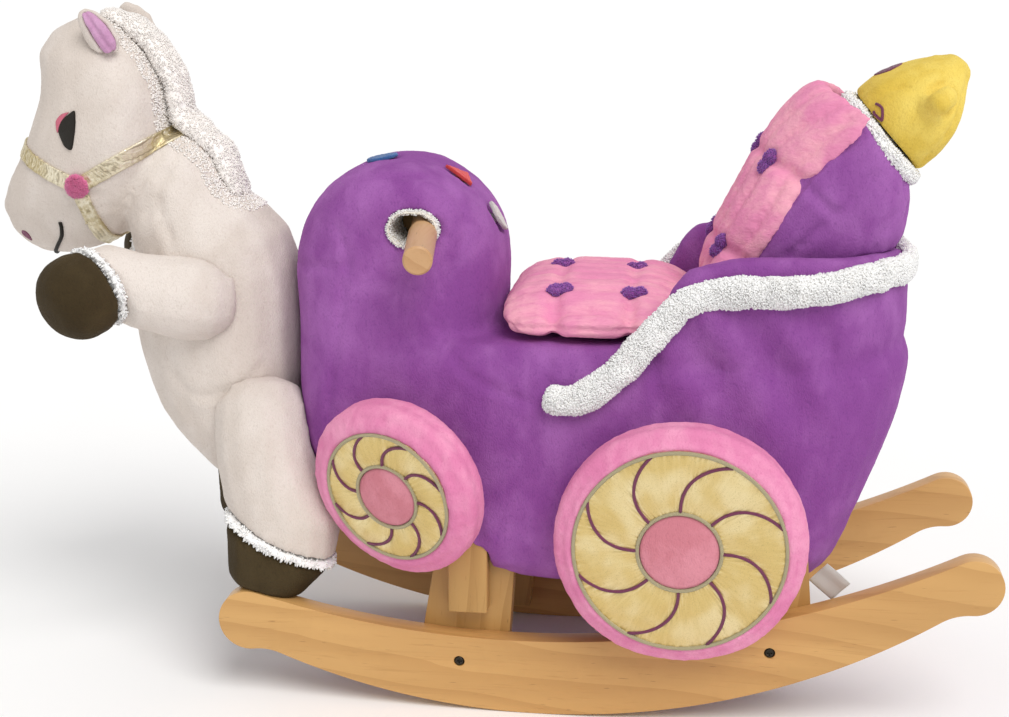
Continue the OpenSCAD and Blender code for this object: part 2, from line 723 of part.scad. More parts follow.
module crown_knobs(grow = 0)
    for (s = [-1, 1]) translate([-4, s * 47, 47]) rotate([s * -60, 0, 0]) {
        translate([0, 0, -8]) cylinder(r1 = 13 + grow, r2 = 8 + grow, h = 16, $fn = 32);
        translate([0, 0, 9]) sphere(r = 9 + grow, $fn = 32);
    }

module crown() color([0.9, 0.8, 0.32]) on_crown() {
    difference() {
        translate([0, 0, band_t - 5]) crown_skin();
        translate([-100, -100, -50]) cube([200, 200, 50 + band_t + ease]);
    }
    crown_knobs();
}

module crown_band() color([0.9, 0.89, 0.84])
    difference() {
        on_crown() stuffed([[-4, 0, 0, 52, 39, 2.4], [-4, 0, band_t / 2, 56, 43, 2.4],
            [-4, 0, band_t, 52, 40, 2.4]], n = 1);
        back_cushion_skin(ease);
    }

// ---- Wheels ----

// Places children with +Z along the axis of a wheel, outwards on the left side
module on_wheel(at, turn, lean) {
    translate(at) rotate([0, 0, -turn]) rotate([90 + lean, 0, 0]) children();
}

module tyre(d, face_d) {
    rim = wheel_t / 2 - 2;
    difference() {
        rotate_extrude($fn = 96) {
            translate([0, -wheel_t / 2]) square([d / 2 - rim, wheel_t]);
            translate([0, -wheel_t / 2 + rim]) square([d / 2, wheel_t - 2 * rim]);
            for (s = [-1, 1]) translate([d / 2 - rim, s * (wheel_t / 2 - rim)]) circle(r = rim, $fn = 48);
        }
        translate([0, 0, wheel_t / 2 - 4]) cylinder(d = face_d, h = 10, $fn = 96);
    }
}

// A tyre with the patch behind it that is sewn flat against the carriage
module sewn_wheel(at, turn, lean, d, face_d) difference() {
    on_wheel(at, turn, lean) {
        tyre(d, face_d);
        translate([0, 0, -wheel_t / 2 - 12]) cylinder(d = d * 0.45, h = 14, $fn = 64);
    }
    belly_skin(2 * ease);
    column_skin(2 * ease);
    block_space(ease);
}

// One curved spoke: a flat band between two arcs, from the hub to the rim
module spoke(r0, r1) {
    chord = r1 - r0;
    bend = chord * 0.8;
    c = [(r0 + r1) / 2, sqrt(bend * bend - chord * chord / 4) + 1];
    difference() {
        intersection() {
            translate(c) circle(r = bend + spoke_w / 2, $fn = 96);
            circle(r = r1, $fn = 96);
        }
        translate(c) circle(r = bend - spoke_w / 2, $fn = 96);
        circle(r = r0, $fn = 96);
        translate([-r1, 2]) square([3 * r1, r1]);
        translate([-r1, -r1]) square([r1, 3 * r1]);
    }
}

// Gold cloth ring with a raised cord along both edges and spokes sewn across it
module face(face_d, hub_d) {
    z = wheel_t / 2;
    r0 = hub_d / 2;
    r1 = face_d / 2 - ease;
    rotate_extrude($fn = 96) {
        translate([r0, z - 4 + ease]) square([r1 - r0, 3]);
        for (r = [r0 + cord_r, r1 - cord_r]) translate([r, z - 1]) circle(r = cord_r, $fn = 24);
    }
    for (k = [0 : spokes - 1]) rotate(360 * k / spokes)
        translate([0, 0, z - 2]) linear_extrude(2) spoke(r0 + 2 * cord_r - 0.2, r1 - 2 * cord_r + 0.2);
}

module hub(hub_d) intersection() {
    translate([0, 0, wheel_t / 2 - 4]) cylinder(d = hub_d - 2 * ease, h = 12, $fn = 64);
    translate([0, 0, wheel_t / 2 + 3 - hub_d * 1.6]) sphere(r = hub_d * 1.6, $fn = 96);
}

module front_place() on_wheel(front_wheel, front_turn, front_lean) children();
module rear_place() on_wheel(rear_wheel, rear_turn, rear_lean) children();

module front_tyre() sewn_wheel(front_wheel, front_turn, front_lean, front_wheel_d, front_face_d);
module rear_tyre() sewn_wheel(rear_wheel, rear_turn, rear_lean, rear_wheel_d, rear_face_d);
module wheel_front_left() color([0.93, 0.53, 0.73]) front_tyre();
module wheel_front_right() color([0.93, 0.53, 0.73]) mirror([0, 1, 0]) front_tyre();
module wheel_rear_left() color([0.93, 0.53, 0.73]) rear_tyre();
module wheel_rear_right() color([0.93, 0.53, 0.73]) mirror([0, 1, 0]) rear_tyre();

module wheel_faces() color([0.87, 0.78, 0.5])
    for (side = [-1, 1]) mirrored(side) {
        front_place() face(front_face_d, front_hub_d);
        rear_place() face(rear_face_d, rear_hub_d);
    }
module wheel_hubs() color([0.9, 0.5, 0.68])
    for (side = [-1, 1]) mirrored(side) {
        front_place() hub(front_hub_d);
        rear_place() hub(rear_hub_d);
    }

// ---- Horse ----

// Barrel and neck, from the rump up: x, z, half width as a share of horse_w, half depth
barrel = [
    [-201, 172, 0.66, 32], [-206, 196, 0.84, 46], [-214, 230, 0.96, 62], [-221, 270, 1, 69],
    [-223, 308, 1, 71], [-229, 342, 0.95, 66], [-246, 374, 0.8, 50], [-254, 402, 0.68, 43],
    [-258, 420, 0.6, 38]];

module barrel_skin(grow = 0)
    stuffed([for (s = barrel) [s[0], 0, s[1], s[2] * horse_w, s[3], 2.2]], dome = [16, 22], grow = grow);

module horse_body() color([0.91, 0.87, 0.87]) barrel_skin();

// Head by level slices: height, nose side, nape side, half width as a share of head_w
head = [
    [342, -376, -340, 0.22], [349, -389, -318, 0.42], [360, -400, -298, 0.58], [380, -407, -282, 0.74],
    [400, -400, -272, 0.87], [420, -389, -262, 0.95], [442, -380, -257, 1], [470, -369, -258, 0.98],
    [488, -367, -262, 0.92], [505, -368, -271, 0.8], [522, -352, -284, 0.58], [533, -328, -297, 0.3]];

module head_skin(grow = 0)
    skin([for (i = [0 : len(head) - 1]) let (s = head[i], end = i == 0 ? -1 : i == len(head) - 1 ? 1 : 0)
        slice(s[0] + end * grow, s[1], s[2], (s[1] + 2 * s[2]) / 3, s[3] * head_w, 2.1, grow, 20)]);

module horse_head() color([0.91, 0.87, 0.87])
    difference() {
        head_skin();
        barrel_skin(ease);
    }

mane = [
    [-306, 531], [-288, 527], [-272, 514], [-261, 499], [-254, 485], [-251, 470], [-249, 455], [-233, 441],
    [-218, 427], [-211, 411], [-207, 396], [-203, 384], [-194, 373], [-182, 363]];

module mane_skin(grow = 0)
    stuffed([for (m = mane) [m[0], 0, m[1], 20, 9, 2.2]], dome = [5, 5], grow = grow, n = 1, sides = 10);

module horse_mane() color([0.94, 0.92, 0.9])
    difference() {
        mane_skin();
        head_skin(ease);
        barrel_skin(ease);
        column_skin(ease);
    }

// Folded ear, from its root on the side of the head to its rounded tip
ear = [
    [-296, -46, 497, 12, 6], [-298, -48, 506, 17, 8], [-305, -50, 519, 17, 8], [-314, -50, 530, 13, 7],
    [-320, -49, 537, 7, 5]];

module ear_skin(grow = 0)
    stuffed([for (s = ear) [s[0], s[1], s[2], s[3], s[4], 2]],
        ref = [1, 0, 0], dome = [2, 3], grow = grow, n = 1, sides = 12);

module ear_lining_skin(grow = 0)
    stuffed([for (s = ear) [s[0] + 4, s[1] - 6, s[2] + 1, s[3] * 0.62, s[4] * 0.7, 2]],
        ref = [1, 0, 0], dome = [1, 1], grow = grow, n = 1, sides = 12);

module horse_ears() color([0.91, 0.87, 0.87])
    for (side = [-1, 1]) mirrored(side) difference() {
        ear_skin();
        head_skin(ease);
        ear_lining_skin(ease);
    }
module ear_linings() color([0.85, 0.66, 0.78])
    for (side = [-1, 1]) mirrored(side) difference() {
        ear_lining_skin();
        head_skin(ease);
    }

// A thin patch that follows the head, cut out by its children
module head_patch(t) difference() {
    intersection() {
        head_skin(t);
        children();
    }
    head_skin(ease);
}

module almond(length, width, h) {
    r = (length * length + width * width) / (4 * width);
    intersection_for (s = [-1, 1]) translate([s * (r - width / 2), 0, 0]) cylinder(r = r, h = h, $fn = 96);
}

module horse_eyes() color([0.12, 0.1, 0.09])
    for (side = [-1, 1]) mirrored(side)
        head_patch(1.5) translate([-322, -20, 447]) rotate([90, 0, -20]) rotate([0, 0, -12])
            almond(33, 17, 60);

module bridle() color([0.85, 0.79, 0.55])
    difference() {
        head_patch(2.2) union() {
            translate([-346, 0, 394]) rotate([0, 41.7, 0]) cube([160, 160, strap_w], center = true);
            translate([-326, 0, 400]) rotate([0, -32, 0]) translate([0, -80, -strap_w / 2])
                cube([120, 160, strap_w]);
        }
        barrel_skin(ease);
        mane_skin(ease);
    }

module pompoms() color([0.92, 0.45, 0.62])
    for (side = [-1, 1]) mirrored(side) difference() {
        translate([-327, -50, 400]) sphere(d = pompom_d, $fn = 48);
        head_skin(2.2 + ease);
    }

function out(from, dir, d, r1, r2, e = 2.1) = concat(from + dir * d, [r1, r2, e]);

// Everything beyond a plane through a point, square to a direction
module beyond(at, dir) {
    translate(at) rotate([0, acos(dir.z), atan2(dir.y, dir.x)]) translate([-100, -100, 0])
        cube([200, 200, 200]);
}

// Fore leg from the shoulder to the wrist, then cuff and hoof turned outwards from it
fore_dir = unit([-0.55, -0.78, -0.3]);
wrist = [-293, -85, 333];
arm = [
    [-216, -58, 316, 30, 33, 2], [-232, -66, 319, 31, 34, 2], [-254, -73, 324, 29, 31, 2],
    [-275, -78, 329, 28, 29, 2.1]];

module fore_leg() difference() {
    stuffed(concat(arm, [out(wrist, fore_dir, -6, 29, 29), out(wrist, fore_dir, 8, 30, 30)]),
        dome = [24, 0], sides = 14);
    barrel_skin(ease);
    head_skin(ease);
    beyond(wrist, fore_dir);
}
module foreleg_left() color([0.91, 0.87, 0.87]) fore_leg();
module foreleg_right() color([0.91, 0.87, 0.87]) mirror([0, 1, 0]) fore_leg();

module fore_cuff() stuffed([
    out(wrist, fore_dir, ease, 30, 31), out(wrist, fore_dir, ease + cuff_t / 2, 36, 36),
    out(wrist, fore_dir, ease + cuff_t, 33, 33)], n = 1, sides = 14);

module fore_hoof() {
    d = 2 * ease + cuff_t;
    r = fore_hoof_r;
    stuffed([
        out(wrist, fore_dir, d, 0.93 * r, 0.95 * r), out(wrist, fore_dir, d + 0.25 * r, r, r),
        out(wrist, fore_dir, d + 0.75 * r, 0.97 * r, 0.97 * r),
        out(wrist, fore_dir, d + 1.05 * r, 0.75 * r, 0.75 * r)],
        dome = [0, 0.22 * r], sides = 14);
}

// Hind leg down to the ankle, then cuff and hoof towards the toe
hind_dir = unit([-0.43, -0.05, -0.9]);
ankle = [-156, -79, 132];
thigh = [
    [-176, -52, 230, 31, 39, 2], [-174, -62, 205, 35, 40, 2.1], [-166, -71, 172, 35, 41, 2.1]];
far_step = [-54, 0, 0];

module hind_leg(step = [0, 0, 0]) difference() {
    stuffed(concat([for (i = [0 : 2]) let (s = thigh[i], k = i / 3)
        [s[0] + k * step.x, s[1], s[2] + k * step.z, s[3], s[4], s[5]]],
        [out(ankle + step, hind_dir, -10, 37, 44), out(ankle + step, hind_dir, 8, 38, 46)]),
        dome = [24, 0], sides = 14);
    barrel_skin(ease);
    belly_skin(ease);
    column_skin(ease);
    beyond(ankle + step, hind_dir);
}
module hindleg_left() color([0.91, 0.87, 0.87]) hind_leg();
module hindleg_right() color([0.91, 0.87, 0.87]) mirror([0, 1, 0]) hind_leg(far_step);

module hind_cuff(step = [0, 0, 0]) stuffed([
    out(ankle + step, hind_dir, ease, 39, 47), out(ankle + step, hind_dir, ease + cuff_t / 2, 42, 51),
    out(ankle + step, hind_dir, ease + cuff_t, 39, 48)], n = 1, sides = 14);

module hind_hoof(step = [0, 0, 0]) {
    d = 2 * ease + cuff_t;
    at = ankle + step;
    difference() {
        hull() {
            stuffed([out(at, hind_dir, d, 36, 44), out(at, hind_dir, d + 3, 37, 45)], n = 1, sides = 14);
            stuffed([concat(at + [-8, 0, -32], [34, 36, 2.4]), concat(at + [-8, 0, -50], [24, 24, 2.6])],
                n = 1, sides = 14);
        }
        translate([0, 0, ease]) board(-frame_w / 2 - 20, -bow_in + ease) bow_profile();
    }
}

module hooves() color([0.2, 0.16, 0.1]) {
    for (side = [-1, 1]) mirrored(side) fore_hoof();
    hind_hoof();
    mirror([0, 1, 0]) hind_hoof(far_step);
}

module leg_cuffs() color([0.93, 0.91, 0.87]) {
    for (side = [-1, 1]) mirrored(side) fore_cuff();
    hind_cuff();
    mirror([0, 1, 0]) hind_cuff(far_step);
}

tail = [[-164, 6, 218, 8], [-154, 16, 196, 9], [-149, 25, 172, 8], [-146, 32, 150, 6]];

module horse_tail() color([0.88, 0.8, 0.88])
    difference() {
        stuffed([for (t = tail) [t[0], -t[1], t[2], t[3], t[3] * 0.8, 2]], dome = [4, 5], sides = 10);
        barrel_skin(ease);
    }

label_y = 21.5 - frame_w / 2;

// Bare tape sewn into the bottom seam
module label_tag() color([0.88, 0.86, 0.82])
    translate([277, label_y, 115]) rotate([12, 40, -6]) cube([24, 1, 22], center = true);

rocker_left();
rocker_right();
leg_front_left();
leg_front_right();
leg_rear_left();
leg_rear_right();
glue_blocks();
cross_rails();
seat_board();
handle_post();
back_board();
handle_left();
handle_right();
rocker_screws();
frame_screws();
sound_case();
battery_door();
speaker();
battery_cells();
button_switches();
song_button_circle();
song_button_triangle();
song_button_leaf();
carriage_body();
handle_lining_left();
handle_lining_right();
side_wing_left();
side_wing_right();
fur_trim_left();
fur_trim_right();
backrest();
seat_cushion();
seat_tufts();
back_cushion();
back_tufts();
crown();
crown_band();
wheel_front_left();
wheel_front_right();
wheel_rear_left();
wheel_rear_right();
wheel_faces();
wheel_hubs();
horse_body();
horse_head();
horse_mane();
horse_ears();
ear_linings();
horse_eyes();
bridle();
pompoms();
foreleg_left();
foreleg_right();
hindleg_left();
hindleg_right();
hooves();
leg_cuffs();
horse_tail();
label_tag();
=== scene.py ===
"""Looks of a plush horse-and-carriage rocking toy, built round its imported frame.

Each sub-assembly is a class that builds its own meshes and dresses them. Lengths are in metres, in the
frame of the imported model: +X to the rear, the horse faces -X, -Y is the near side, the floor is at Z = 0.
"""

from __future__ import annotations

import logging
import math
from contextlib import contextmanager
from dataclasses import dataclass
from enum import Enum
from typing import Callable, Iterable, Iterator, Sequence

import bmesh
import bpy
import numpy as np
from mathutils import Matrix, Vector, noise
from mathutils.bvhtree import BVHTree


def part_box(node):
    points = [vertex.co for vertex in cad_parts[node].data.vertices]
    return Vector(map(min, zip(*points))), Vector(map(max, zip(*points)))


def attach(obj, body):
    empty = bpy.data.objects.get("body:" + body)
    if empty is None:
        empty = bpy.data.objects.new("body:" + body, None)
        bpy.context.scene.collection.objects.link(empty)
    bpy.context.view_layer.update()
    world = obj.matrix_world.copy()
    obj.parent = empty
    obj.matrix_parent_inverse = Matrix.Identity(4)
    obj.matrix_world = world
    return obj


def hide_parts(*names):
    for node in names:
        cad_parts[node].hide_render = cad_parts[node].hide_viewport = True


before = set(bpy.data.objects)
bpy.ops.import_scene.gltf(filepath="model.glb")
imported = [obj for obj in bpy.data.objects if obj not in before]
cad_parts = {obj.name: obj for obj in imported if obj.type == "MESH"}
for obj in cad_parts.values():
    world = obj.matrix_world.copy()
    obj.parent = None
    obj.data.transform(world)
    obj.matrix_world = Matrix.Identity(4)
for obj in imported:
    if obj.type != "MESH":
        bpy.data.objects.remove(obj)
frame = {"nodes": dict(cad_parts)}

LOG = logging.getLogger("toy")
MM = 0.001
TOY = "toy"
Point = tuple[float, float, float]
Field = tuple[np.ndarray, np.ndarray]
Faces = list[tuple[int, ...]]
QUARTER = math.pi / 2
FULL = 2 * math.pi


# ---------------------------------------------------------------- shader node kit


class SocketKind(Enum):
    """Kinds of socket that a shader node group passes in or out."""

    VALUE = "NodeSocketFloat"
    COLOUR = "NodeSocketColor"
    VECTOR = "NodeSocketVector"


def linear(code: str) -> tuple[float, float, float, float]:
    """Turns a display colour into the linear colour that shaders work in.

    Args:
        code: Colour as six hexadecimal digits.

    Returns:
        Linear red, green, blue and an alpha of 1.
    """
    parts = [int(code[i : i + 2], 16) / 255 for i in (0, 2, 4)]
    r, g, b = (c / 12.92 if c <= 0.04045 else ((c + 0.055) / 1.055) ** 2.4 for c in parts)
    return (r, g, b, 1.0)


class Wiring:
    """Places and joins shader nodes in one node tree."""

    def __init__(self, tree: bpy.types.NodeTree) -> None:
        """Keeps the tree that nodes are added to."""
        self.tree = tree

    def add(self, kind: str, sockets: dict | None = None, **settings: object) -> bpy.types.Node:
        """Adds a node, sets its properties and fills or joins its inputs.

        Args:
            kind: Blender's name for the node type.
            sockets: Input name or number to a value or to another node's output.
            settings: Properties of the node itself.

        Returns:
            The new node.
        """
        node = self.tree.nodes.new(kind)
        for key, value in settings.items():
            setattr(node, key, value)
        for key, value in (sockets or {}).items():
            if isinstance(value, bpy.types.NodeSocket):
                self.tree.links.new(value, node.inputs[key])
            else:
                node.inputs[key].default_value = value
        return node

    def maths(self, operation: str, a: object, b: object = 0.0) -> bpy.types.NodeSocket:
        """One sum, product or comparison of two values."""
        return self.add("ShaderNodeMath", {0: a, 1: b}, operation=operation).outputs[0]

    def blend(self, share: object, first: object, second: object) -> bpy.types.NodeSocket:
        """A colour between two others."""
        node = self.add("ShaderNodeMix", {0: share, 6: first, 7: second}, data_type="RGBA")
        return node.outputs[2]

    def steps(self, value: object, low: float, high: float) -> bpy.types.NodeSocket:
        """Stretches what lies between two levels to 0 to 1, with soft ends."""
        return self.add(
            "ShaderNodeMapRange",
            {"Value": value, "From Min": low, "From Max": high},
            interpolation_type="SMOOTHSTEP",
        ).outputs[0]

    def cloud(
        self, where: object, scale: object, detail: float = 2.0, warp: float = 0.0
    ) -> bpy.types.NodeSocket:
        """Soft noise at so many lumps a metre."""
        sockets = {"Vector": where, "Scale": scale, "Detail": detail, "Distortion": warp}
        return self.add("ShaderNodeTexNoise", sockets).outputs["Fac"]

    def stretched(self, where: object, factors: object) -> bpy.types.NodeSocket:
        """Coordinates multiplied axis by axis."""
        return self.add("ShaderNodeVectorMath", {0: where, 1: factors}, operation="MULTIPLY").outputs[0]

    def drifting(self, where: object, noisy: object, scale: float, reach: float) -> bpy.types.NodeSocket:
        """Coordinates pushed about by noise.

        Args:
            where: The coordinates to push.
            noisy: Coordinates that the noise reads.
            scale: Lumps of noise a metre.
            reach: How far the noise pushes, in metres.

        Returns:
            The pushed coordinates.
        """
        push = self.add("ShaderNodeTexNoise", {"Vector": noisy, "Scale": scale, "Detail": 2.0})
        sockets = {0: push.outputs["Color"], 1: (reach,) * 3, 2: where}
        return self.add("ShaderNodeVectorMath", sockets, operation="MULTIPLY_ADD").outputs[0]

    def place(self) -> bpy.types.NodeSocket:
        """The piece's own coordinates."""
        return self.add("ShaderNodeTexCoord").outputs["Object"]


class Effect(Enum):
    """Effects that several materials share, each one a shader node group."""

    PILE = "cloth_pile"
    GRAIN = "wood_grain"
    FOIL = "foil_crinkle"
    THREAD = "satin_stitch"
    SOIL = "handling_soil"


def _begin(
    effect: Effect, inputs: dict[str, object], outputs: Sequence[str]
) -> tuple[Wiring, dict, dict]:
    """Starts a node group: sockets, and the nodes that stand for them inside."""
    group = bpy.data.node_groups.new(effect.value, "ShaderNodeTree")
    for name, default in inputs.items():
        if isinstance(default, float):
            kind = SocketKind.VALUE
        else:
            kind = SocketKind.COLOUR if len(default) == 4 else SocketKind.VECTOR
        socket = group.interface.new_socket(name, in_out="INPUT", socket_type=kind.value)
        socket.default_value = default
    for name in outputs:
        kind = SocketKind.COLOUR if name == "Color" else SocketKind.VALUE
        group.interface.new_socket(name, in_out="OUTPUT", socket_type=kind.value)
    wiring = Wiring(group)
    entry = wiring.add("NodeGroupInput")
    leave = wiring.add("NodeGroupOutput")
    return wiring, {s.name: s for s in entry.outputs}, {s.name: s for s in leave.inputs}


def build_pile() -> bpy.types.NodeTree:
    """Short cloth pile: clumps of fibre with painted shade in the gaps between them, lifted areas lightened
    toward the tip tone as painted sheen, and fine fibres on top.
    """
    inputs = {
        "Base": linear("808080"),
        "Tip": linear("A0A0A0"),
        "Shade": linear("505050"),
        "Clump": 900.0,
        "Brush": 9.0,
        "Lay": (1.0, 1.0, 0.6),
    }
    w, a, out = _begin(Effect.PILE, inputs, ("Color", "Roughness", "Height"))
    where = w.place()
    lay = w.stretched(where, a["Lay"])
    moved = w.drifting(lay, where, 70.0, 0.006)
    cells = w.add(
        "ShaderNodeTexVoronoi",
        {"Vector": moved, "Scale": a["Clump"], "Smoothness": 0.7, "Randomness": 1.0},
        feature="SMOOTH_F1",
    ).outputs["Distance"]
    fibre = w.cloud(moved, w.maths("MULTIPLY", a["Clump"], 3.2), 3.0)
    brushed_sheen = w.cloud(where, a["Brush"], 3.0, 0.7)
    sheen_patches = w.cloud(lay, w.maths("MULTIPLY", a["Brush"], 6.0), 3.0, 0.4)
    # Painted sheen: the lifted areas of pile are lightened toward the tip tone.
    lift = w.maths("ADD", w.maths("MULTIPLY", brushed_sheen, 0.62), w.maths("MULTIPLY", sheen_patches, 0.38))
    tone = w.blend(w.steps(lift, 0.38, 0.66), a["Base"], a["Tip"])
    # Painted shade in the gaps between the fibre clumps.
    gaps = w.maths("MULTIPLY", w.steps(cells, 0.45, 1.0), 0.35)
    tone = w.blend(gaps, tone, a["Shade"])
    grain = w.maths("MULTIPLY", w.steps(fibre, 0.62, 0.35), 0.22)
    tone = w.blend(grain, tone, a["Shade"])
    height = w.maths("SUBTRACT", w.maths("MULTIPLY", fibre, 0.45), w.maths("MULTIPLY", cells, 0.75))
    w.tree.links.new(tone, out["Color"])
    w.tree.links.new(w.maths("ADD", w.maths("MULTIPLY", fibre, 0.3), 0.68), out["Roughness"])
    w.tree.links.new(height, out["Height"])
    return w.tree


def build_grain() -> bpy.types.NodeTree:
    """Hardwood grain: broad growth bands, fine pores and a few dark flecks, all along local X."""
    inputs = {
        "Vector": (0.0, 0.0, 0.0),
        "Pale": linear("DDB97F"),
        "Dark": linear("C69A5E"),
        "Fleck": linear("8F6538"),
        "Bands": 26.0,
    }
    w, a, out = _begin(Effect.GRAIN, inputs, ("Color", "Roughness", "Height"))
    shift = w.drifting(a["Vector"], w.stretched(a["Vector"], (2.2, 9.0, 9.0)), 1.0, 0.05)
    growth = {"Vector": w.stretched(shift, (0.12, 0.8, 1.0)), "Scale": a["Bands"], "Distortion": 3.0}
    growth["Detail"] = 3.0
    bands = w.add("ShaderNodeTexWave", growth, bands_direction="DIAGONAL", wave_profile="SAW").outputs["Fac"]
    pores = w.cloud(w.stretched(shift, (14.0, 520.0, 520.0)), 1.0, 3.0)
    flecks = w.cloud(w.stretched(shift, (60.0, 900.0, 900.0)), 1.0, 1.0)
    broad = w.cloud(w.stretched(a["Vector"], (3.0, 22.0, 22.0)), 1.0, 2.0)
    tone = w.blend(w.maths("MULTIPLY", w.steps(bands, 0.35, 1.0), 0.5), a["Pale"], a["Dark"])
    tone = w.blend(w.maths("MULTIPLY", w.steps(broad, 0.4, 0.75), 0.45), tone, a["Dark"])
    tone = w.blend(w.maths("MULTIPLY", w.steps(pores, 0.55, 0.8), 0.5), tone, a["Dark"])
    tone = w.blend(w.maths("MULTIPLY", w.steps(flecks, 0.72, 0.8), 0.55), tone, a["Fleck"])
    w.tree.links.new(tone, out["Color"])
    w.tree.links.new(w.maths("ADD", w.maths("MULTIPLY", pores, 0.25), 0.32), out["Roughness"])
    w.tree.links.new(w.maths("SUBTRACT", 0.5, w.steps(pores, 0.5, 0.9)), out["Height"])
    return w.tree


def build_foil() -> bpy.types.NodeTree:
    """Metallic cloth: a broad painted reflection, painted highlights and painted crease shade along the
    streaky gathers beside its seams, and fine specks.
    """
    inputs = {
        "Weave": (0.0, 0.0, 0.0),
        "Gather": 0.0,
        "Base": linear("D8C67C"),
        "Glint": linear("F3ECCB"),
        "Speck_And_Crease_Shade": linear("8C7F4A"),
        "Streaks": 420.0,
    }
    w, a, out = _begin(Effect.FOIL, inputs, ("Color", "Roughness", "Height"))
    where = w.place()
    streak = w.cloud(w.stretched(a["Weave"], (1.0, 0.2, 1.0)), a["Streaks"], 3.0)
    # How strongly the streaks' painted highlights and painted crease shade show, set by the gathers.
    amount = w.maths("ADD", w.maths("MULTIPLY", a["Gather"], 0.42), 0.05)
    # Painted reflection: broad soft gleams that lighten the cloth toward its glint tone.
    gleam = w.steps(w.cloud(where, 30.0, 2.0), 0.40, 0.68)
    specks = w.cloud(where, 1500.0, 2.0)
    tone = w.blend(w.maths("MULTIPLY", gleam, 0.45), a["Base"], a["Glint"])
    # Painted highlights on the streaks, then painted shade in their creases; the fine specks after them are
    # the cloth's own.
    tone = w.blend(w.maths("MULTIPLY", w.steps(streak, 0.51, 0.62), amount), tone, a["Glint"])
    tone = w.blend(w.maths("MULTIPLY", w.steps(streak, 0.49, 0.37), amount), tone, a["Speck_And_Crease_Shade"])
    tone = w.blend(w.maths("MULTIPLY", w.steps(specks, 0.54, 0.70), 0.32), tone, a["Speck_And_Crease_Shade"])
    w.tree.links.new(tone, out["Color"])
    w.tree.links.new(w.maths("ADD", w.maths("MULTIPLY", specks, 0.35), 0.2), out["Roughness"])
    height = w.maths("MULTIPLY", w.maths("MULTIPLY", streak, 0.9), amount)
    w.tree.links.new(w.maths("ADD", height, w.maths("MULTIPLY", specks, 0.12)), out["Height"])
    return w.tree


def build_thread() -> bpy.types.NodeTree:
    """Rows of satin stitches that run side by side."""
    inputs = {"Base": linear("7A2E52"), "Light": linear("9A4A70"), "Rows": 900.0, "Turn": (1.0, 0.3, 1.0)}
    w, a, out = _begin(Effect.THREAD, inputs, ("Color", "Roughness", "Height"))
    where = w.place()
    rows = w.add(
        "ShaderNodeTexWave",
        {"Vector": w.stretched(where, a["Turn"]), "Scale": a["Rows"], "Distortion": 1.5, "Detail": 1.0},
        bands_direction="DIAGONAL",
    ).outputs["Fac"]
    fuzz = w.cloud(where, 2200.0, 2.0)
    w.tree.links.new(w.blend(w.maths("MULTIPLY", rows, 0.8), a["Base"], a["Light"]), out["Color"])
    w.tree.links.new(w.maths("ADD", w.maths("MULTIPLY", fuzz, 0.3), 0.4), out["Roughness"])
    w.tree.links.new(w.maths("ADD", rows, w.maths("MULTIPLY", fuzz, 0.4)), out["Height"])
    return w.tree


def build_soil() -> bpy.types.NodeTree:
    """Faint grime and rubbed spots that a handled object carries."""
    w, a, out = _begin(Effect.SOIL, {"Scale": 14.0, "Spread": 0.5}, ("Mask", "Roughness"))
    where = w.place()
    broad = w.cloud(where, a["Scale"], 4.0, 0.8)
    fine = w.cloud(where, w.maths("MULTIPLY", a["Scale"], 12.0), 3.0)
    both = w.maths("ADD", w.maths("MULTIPLY", broad, 0.7), w.maths("MULTIPLY", fine, 0.3))
    low = w.maths("SUBTRACT", 1.0, a["Spread"])
    mask = w.add("ShaderNodeMapRange", {"Value": both, "From Min": low, "From Max": 0.85}).outputs[0]
    w.tree.links.new(mask, out["Mask"])
    w.tree.links.new(w.maths("MULTIPLY", mask, 0.2), out["Roughness"])
    return w.tree


BUILDERS: dict[Effect, Callable[[], bpy.types.NodeTree]] = {
    Effect.PILE: build_pile,
    Effect.GRAIN: build_grain,
    Effect.FOIL: build_foil,
    Effect.THREAD: build_thread,
    Effect.SOIL: build_soil,
}
_groups: dict[Effect, bpy.types.NodeTree] = {}
_materials: dict[object, bpy.types.Material] = {}


def effect_group(effect: Effect) -> bpy.types.NodeTree:
    """The shared node group of an effect, built on first use."""
    if effect not in _groups:
        _groups[effect] = BUILDERS[effect]()
    return _groups[effect]


class Sheet:
    """A material in the making: its wiring and its Principled shader."""

    def __init__(self, name: str) -> None:
        """Starts a material with one Principled shader."""
        self.material = bpy.data.materials.new(name)
        self.material.use_nodes = True
        tree = self.material.node_tree
        self.wiring = Wiring(tree)
        self.shader = tree.nodes["Principled BSDF"]

    def effect(self, effect: Effect, values: dict[str, object]) -> bpy.types.Node:
        """Places a shared effect with its own values."""
        node = self.wiring.add("ShaderNodeGroup", node_tree=effect_group(effect))
        for key, value in values.items():
            if isinstance(value, bpy.types.NodeSocket):
                self.wiring.tree.links.new(value, node.inputs[key])
            else:
                node.inputs[key].default_value = value
        return node

    def wire(self, colour: object, roughness: object, height: object, relief: float) -> None:
        """Feeds the shader its colour, roughness and bump.

        Args:
            colour: Output for the base colour.
            roughness: Output for the roughness.
            height: Output for the height of the bump.
            relief: Depth of the bump in metres.
        """
        links = self.wiring.tree.links
        links.new(colour, self.shader.inputs["Base Color"])
        links.new(roughness, self.shader.inputs["Roughness"])
        bump = self.wiring.add("ShaderNodeBump", {"Height": height, "Distance": relief, "Strength": 1.0})
        links.new(bump.outputs[0], self.shader.inputs["Normal"])

    def covered(self, effect: Effect, values: dict[str, object], relief: float) -> None:
        """Feeds the shader from one shared effect alone, with its bump so many metres deep."""
        out = self.effect(effect, values).outputs
        self.wire(out["Color"], out["Roughness"], out["Height"], relief)

    def plain(self, **values: object) -> None:
        """Sets constant sockets of the shader, with underscores for spaces in their names."""
        for key, value in values.items():
            self.shader.inputs[key.replace("_", " ")].default_value = value


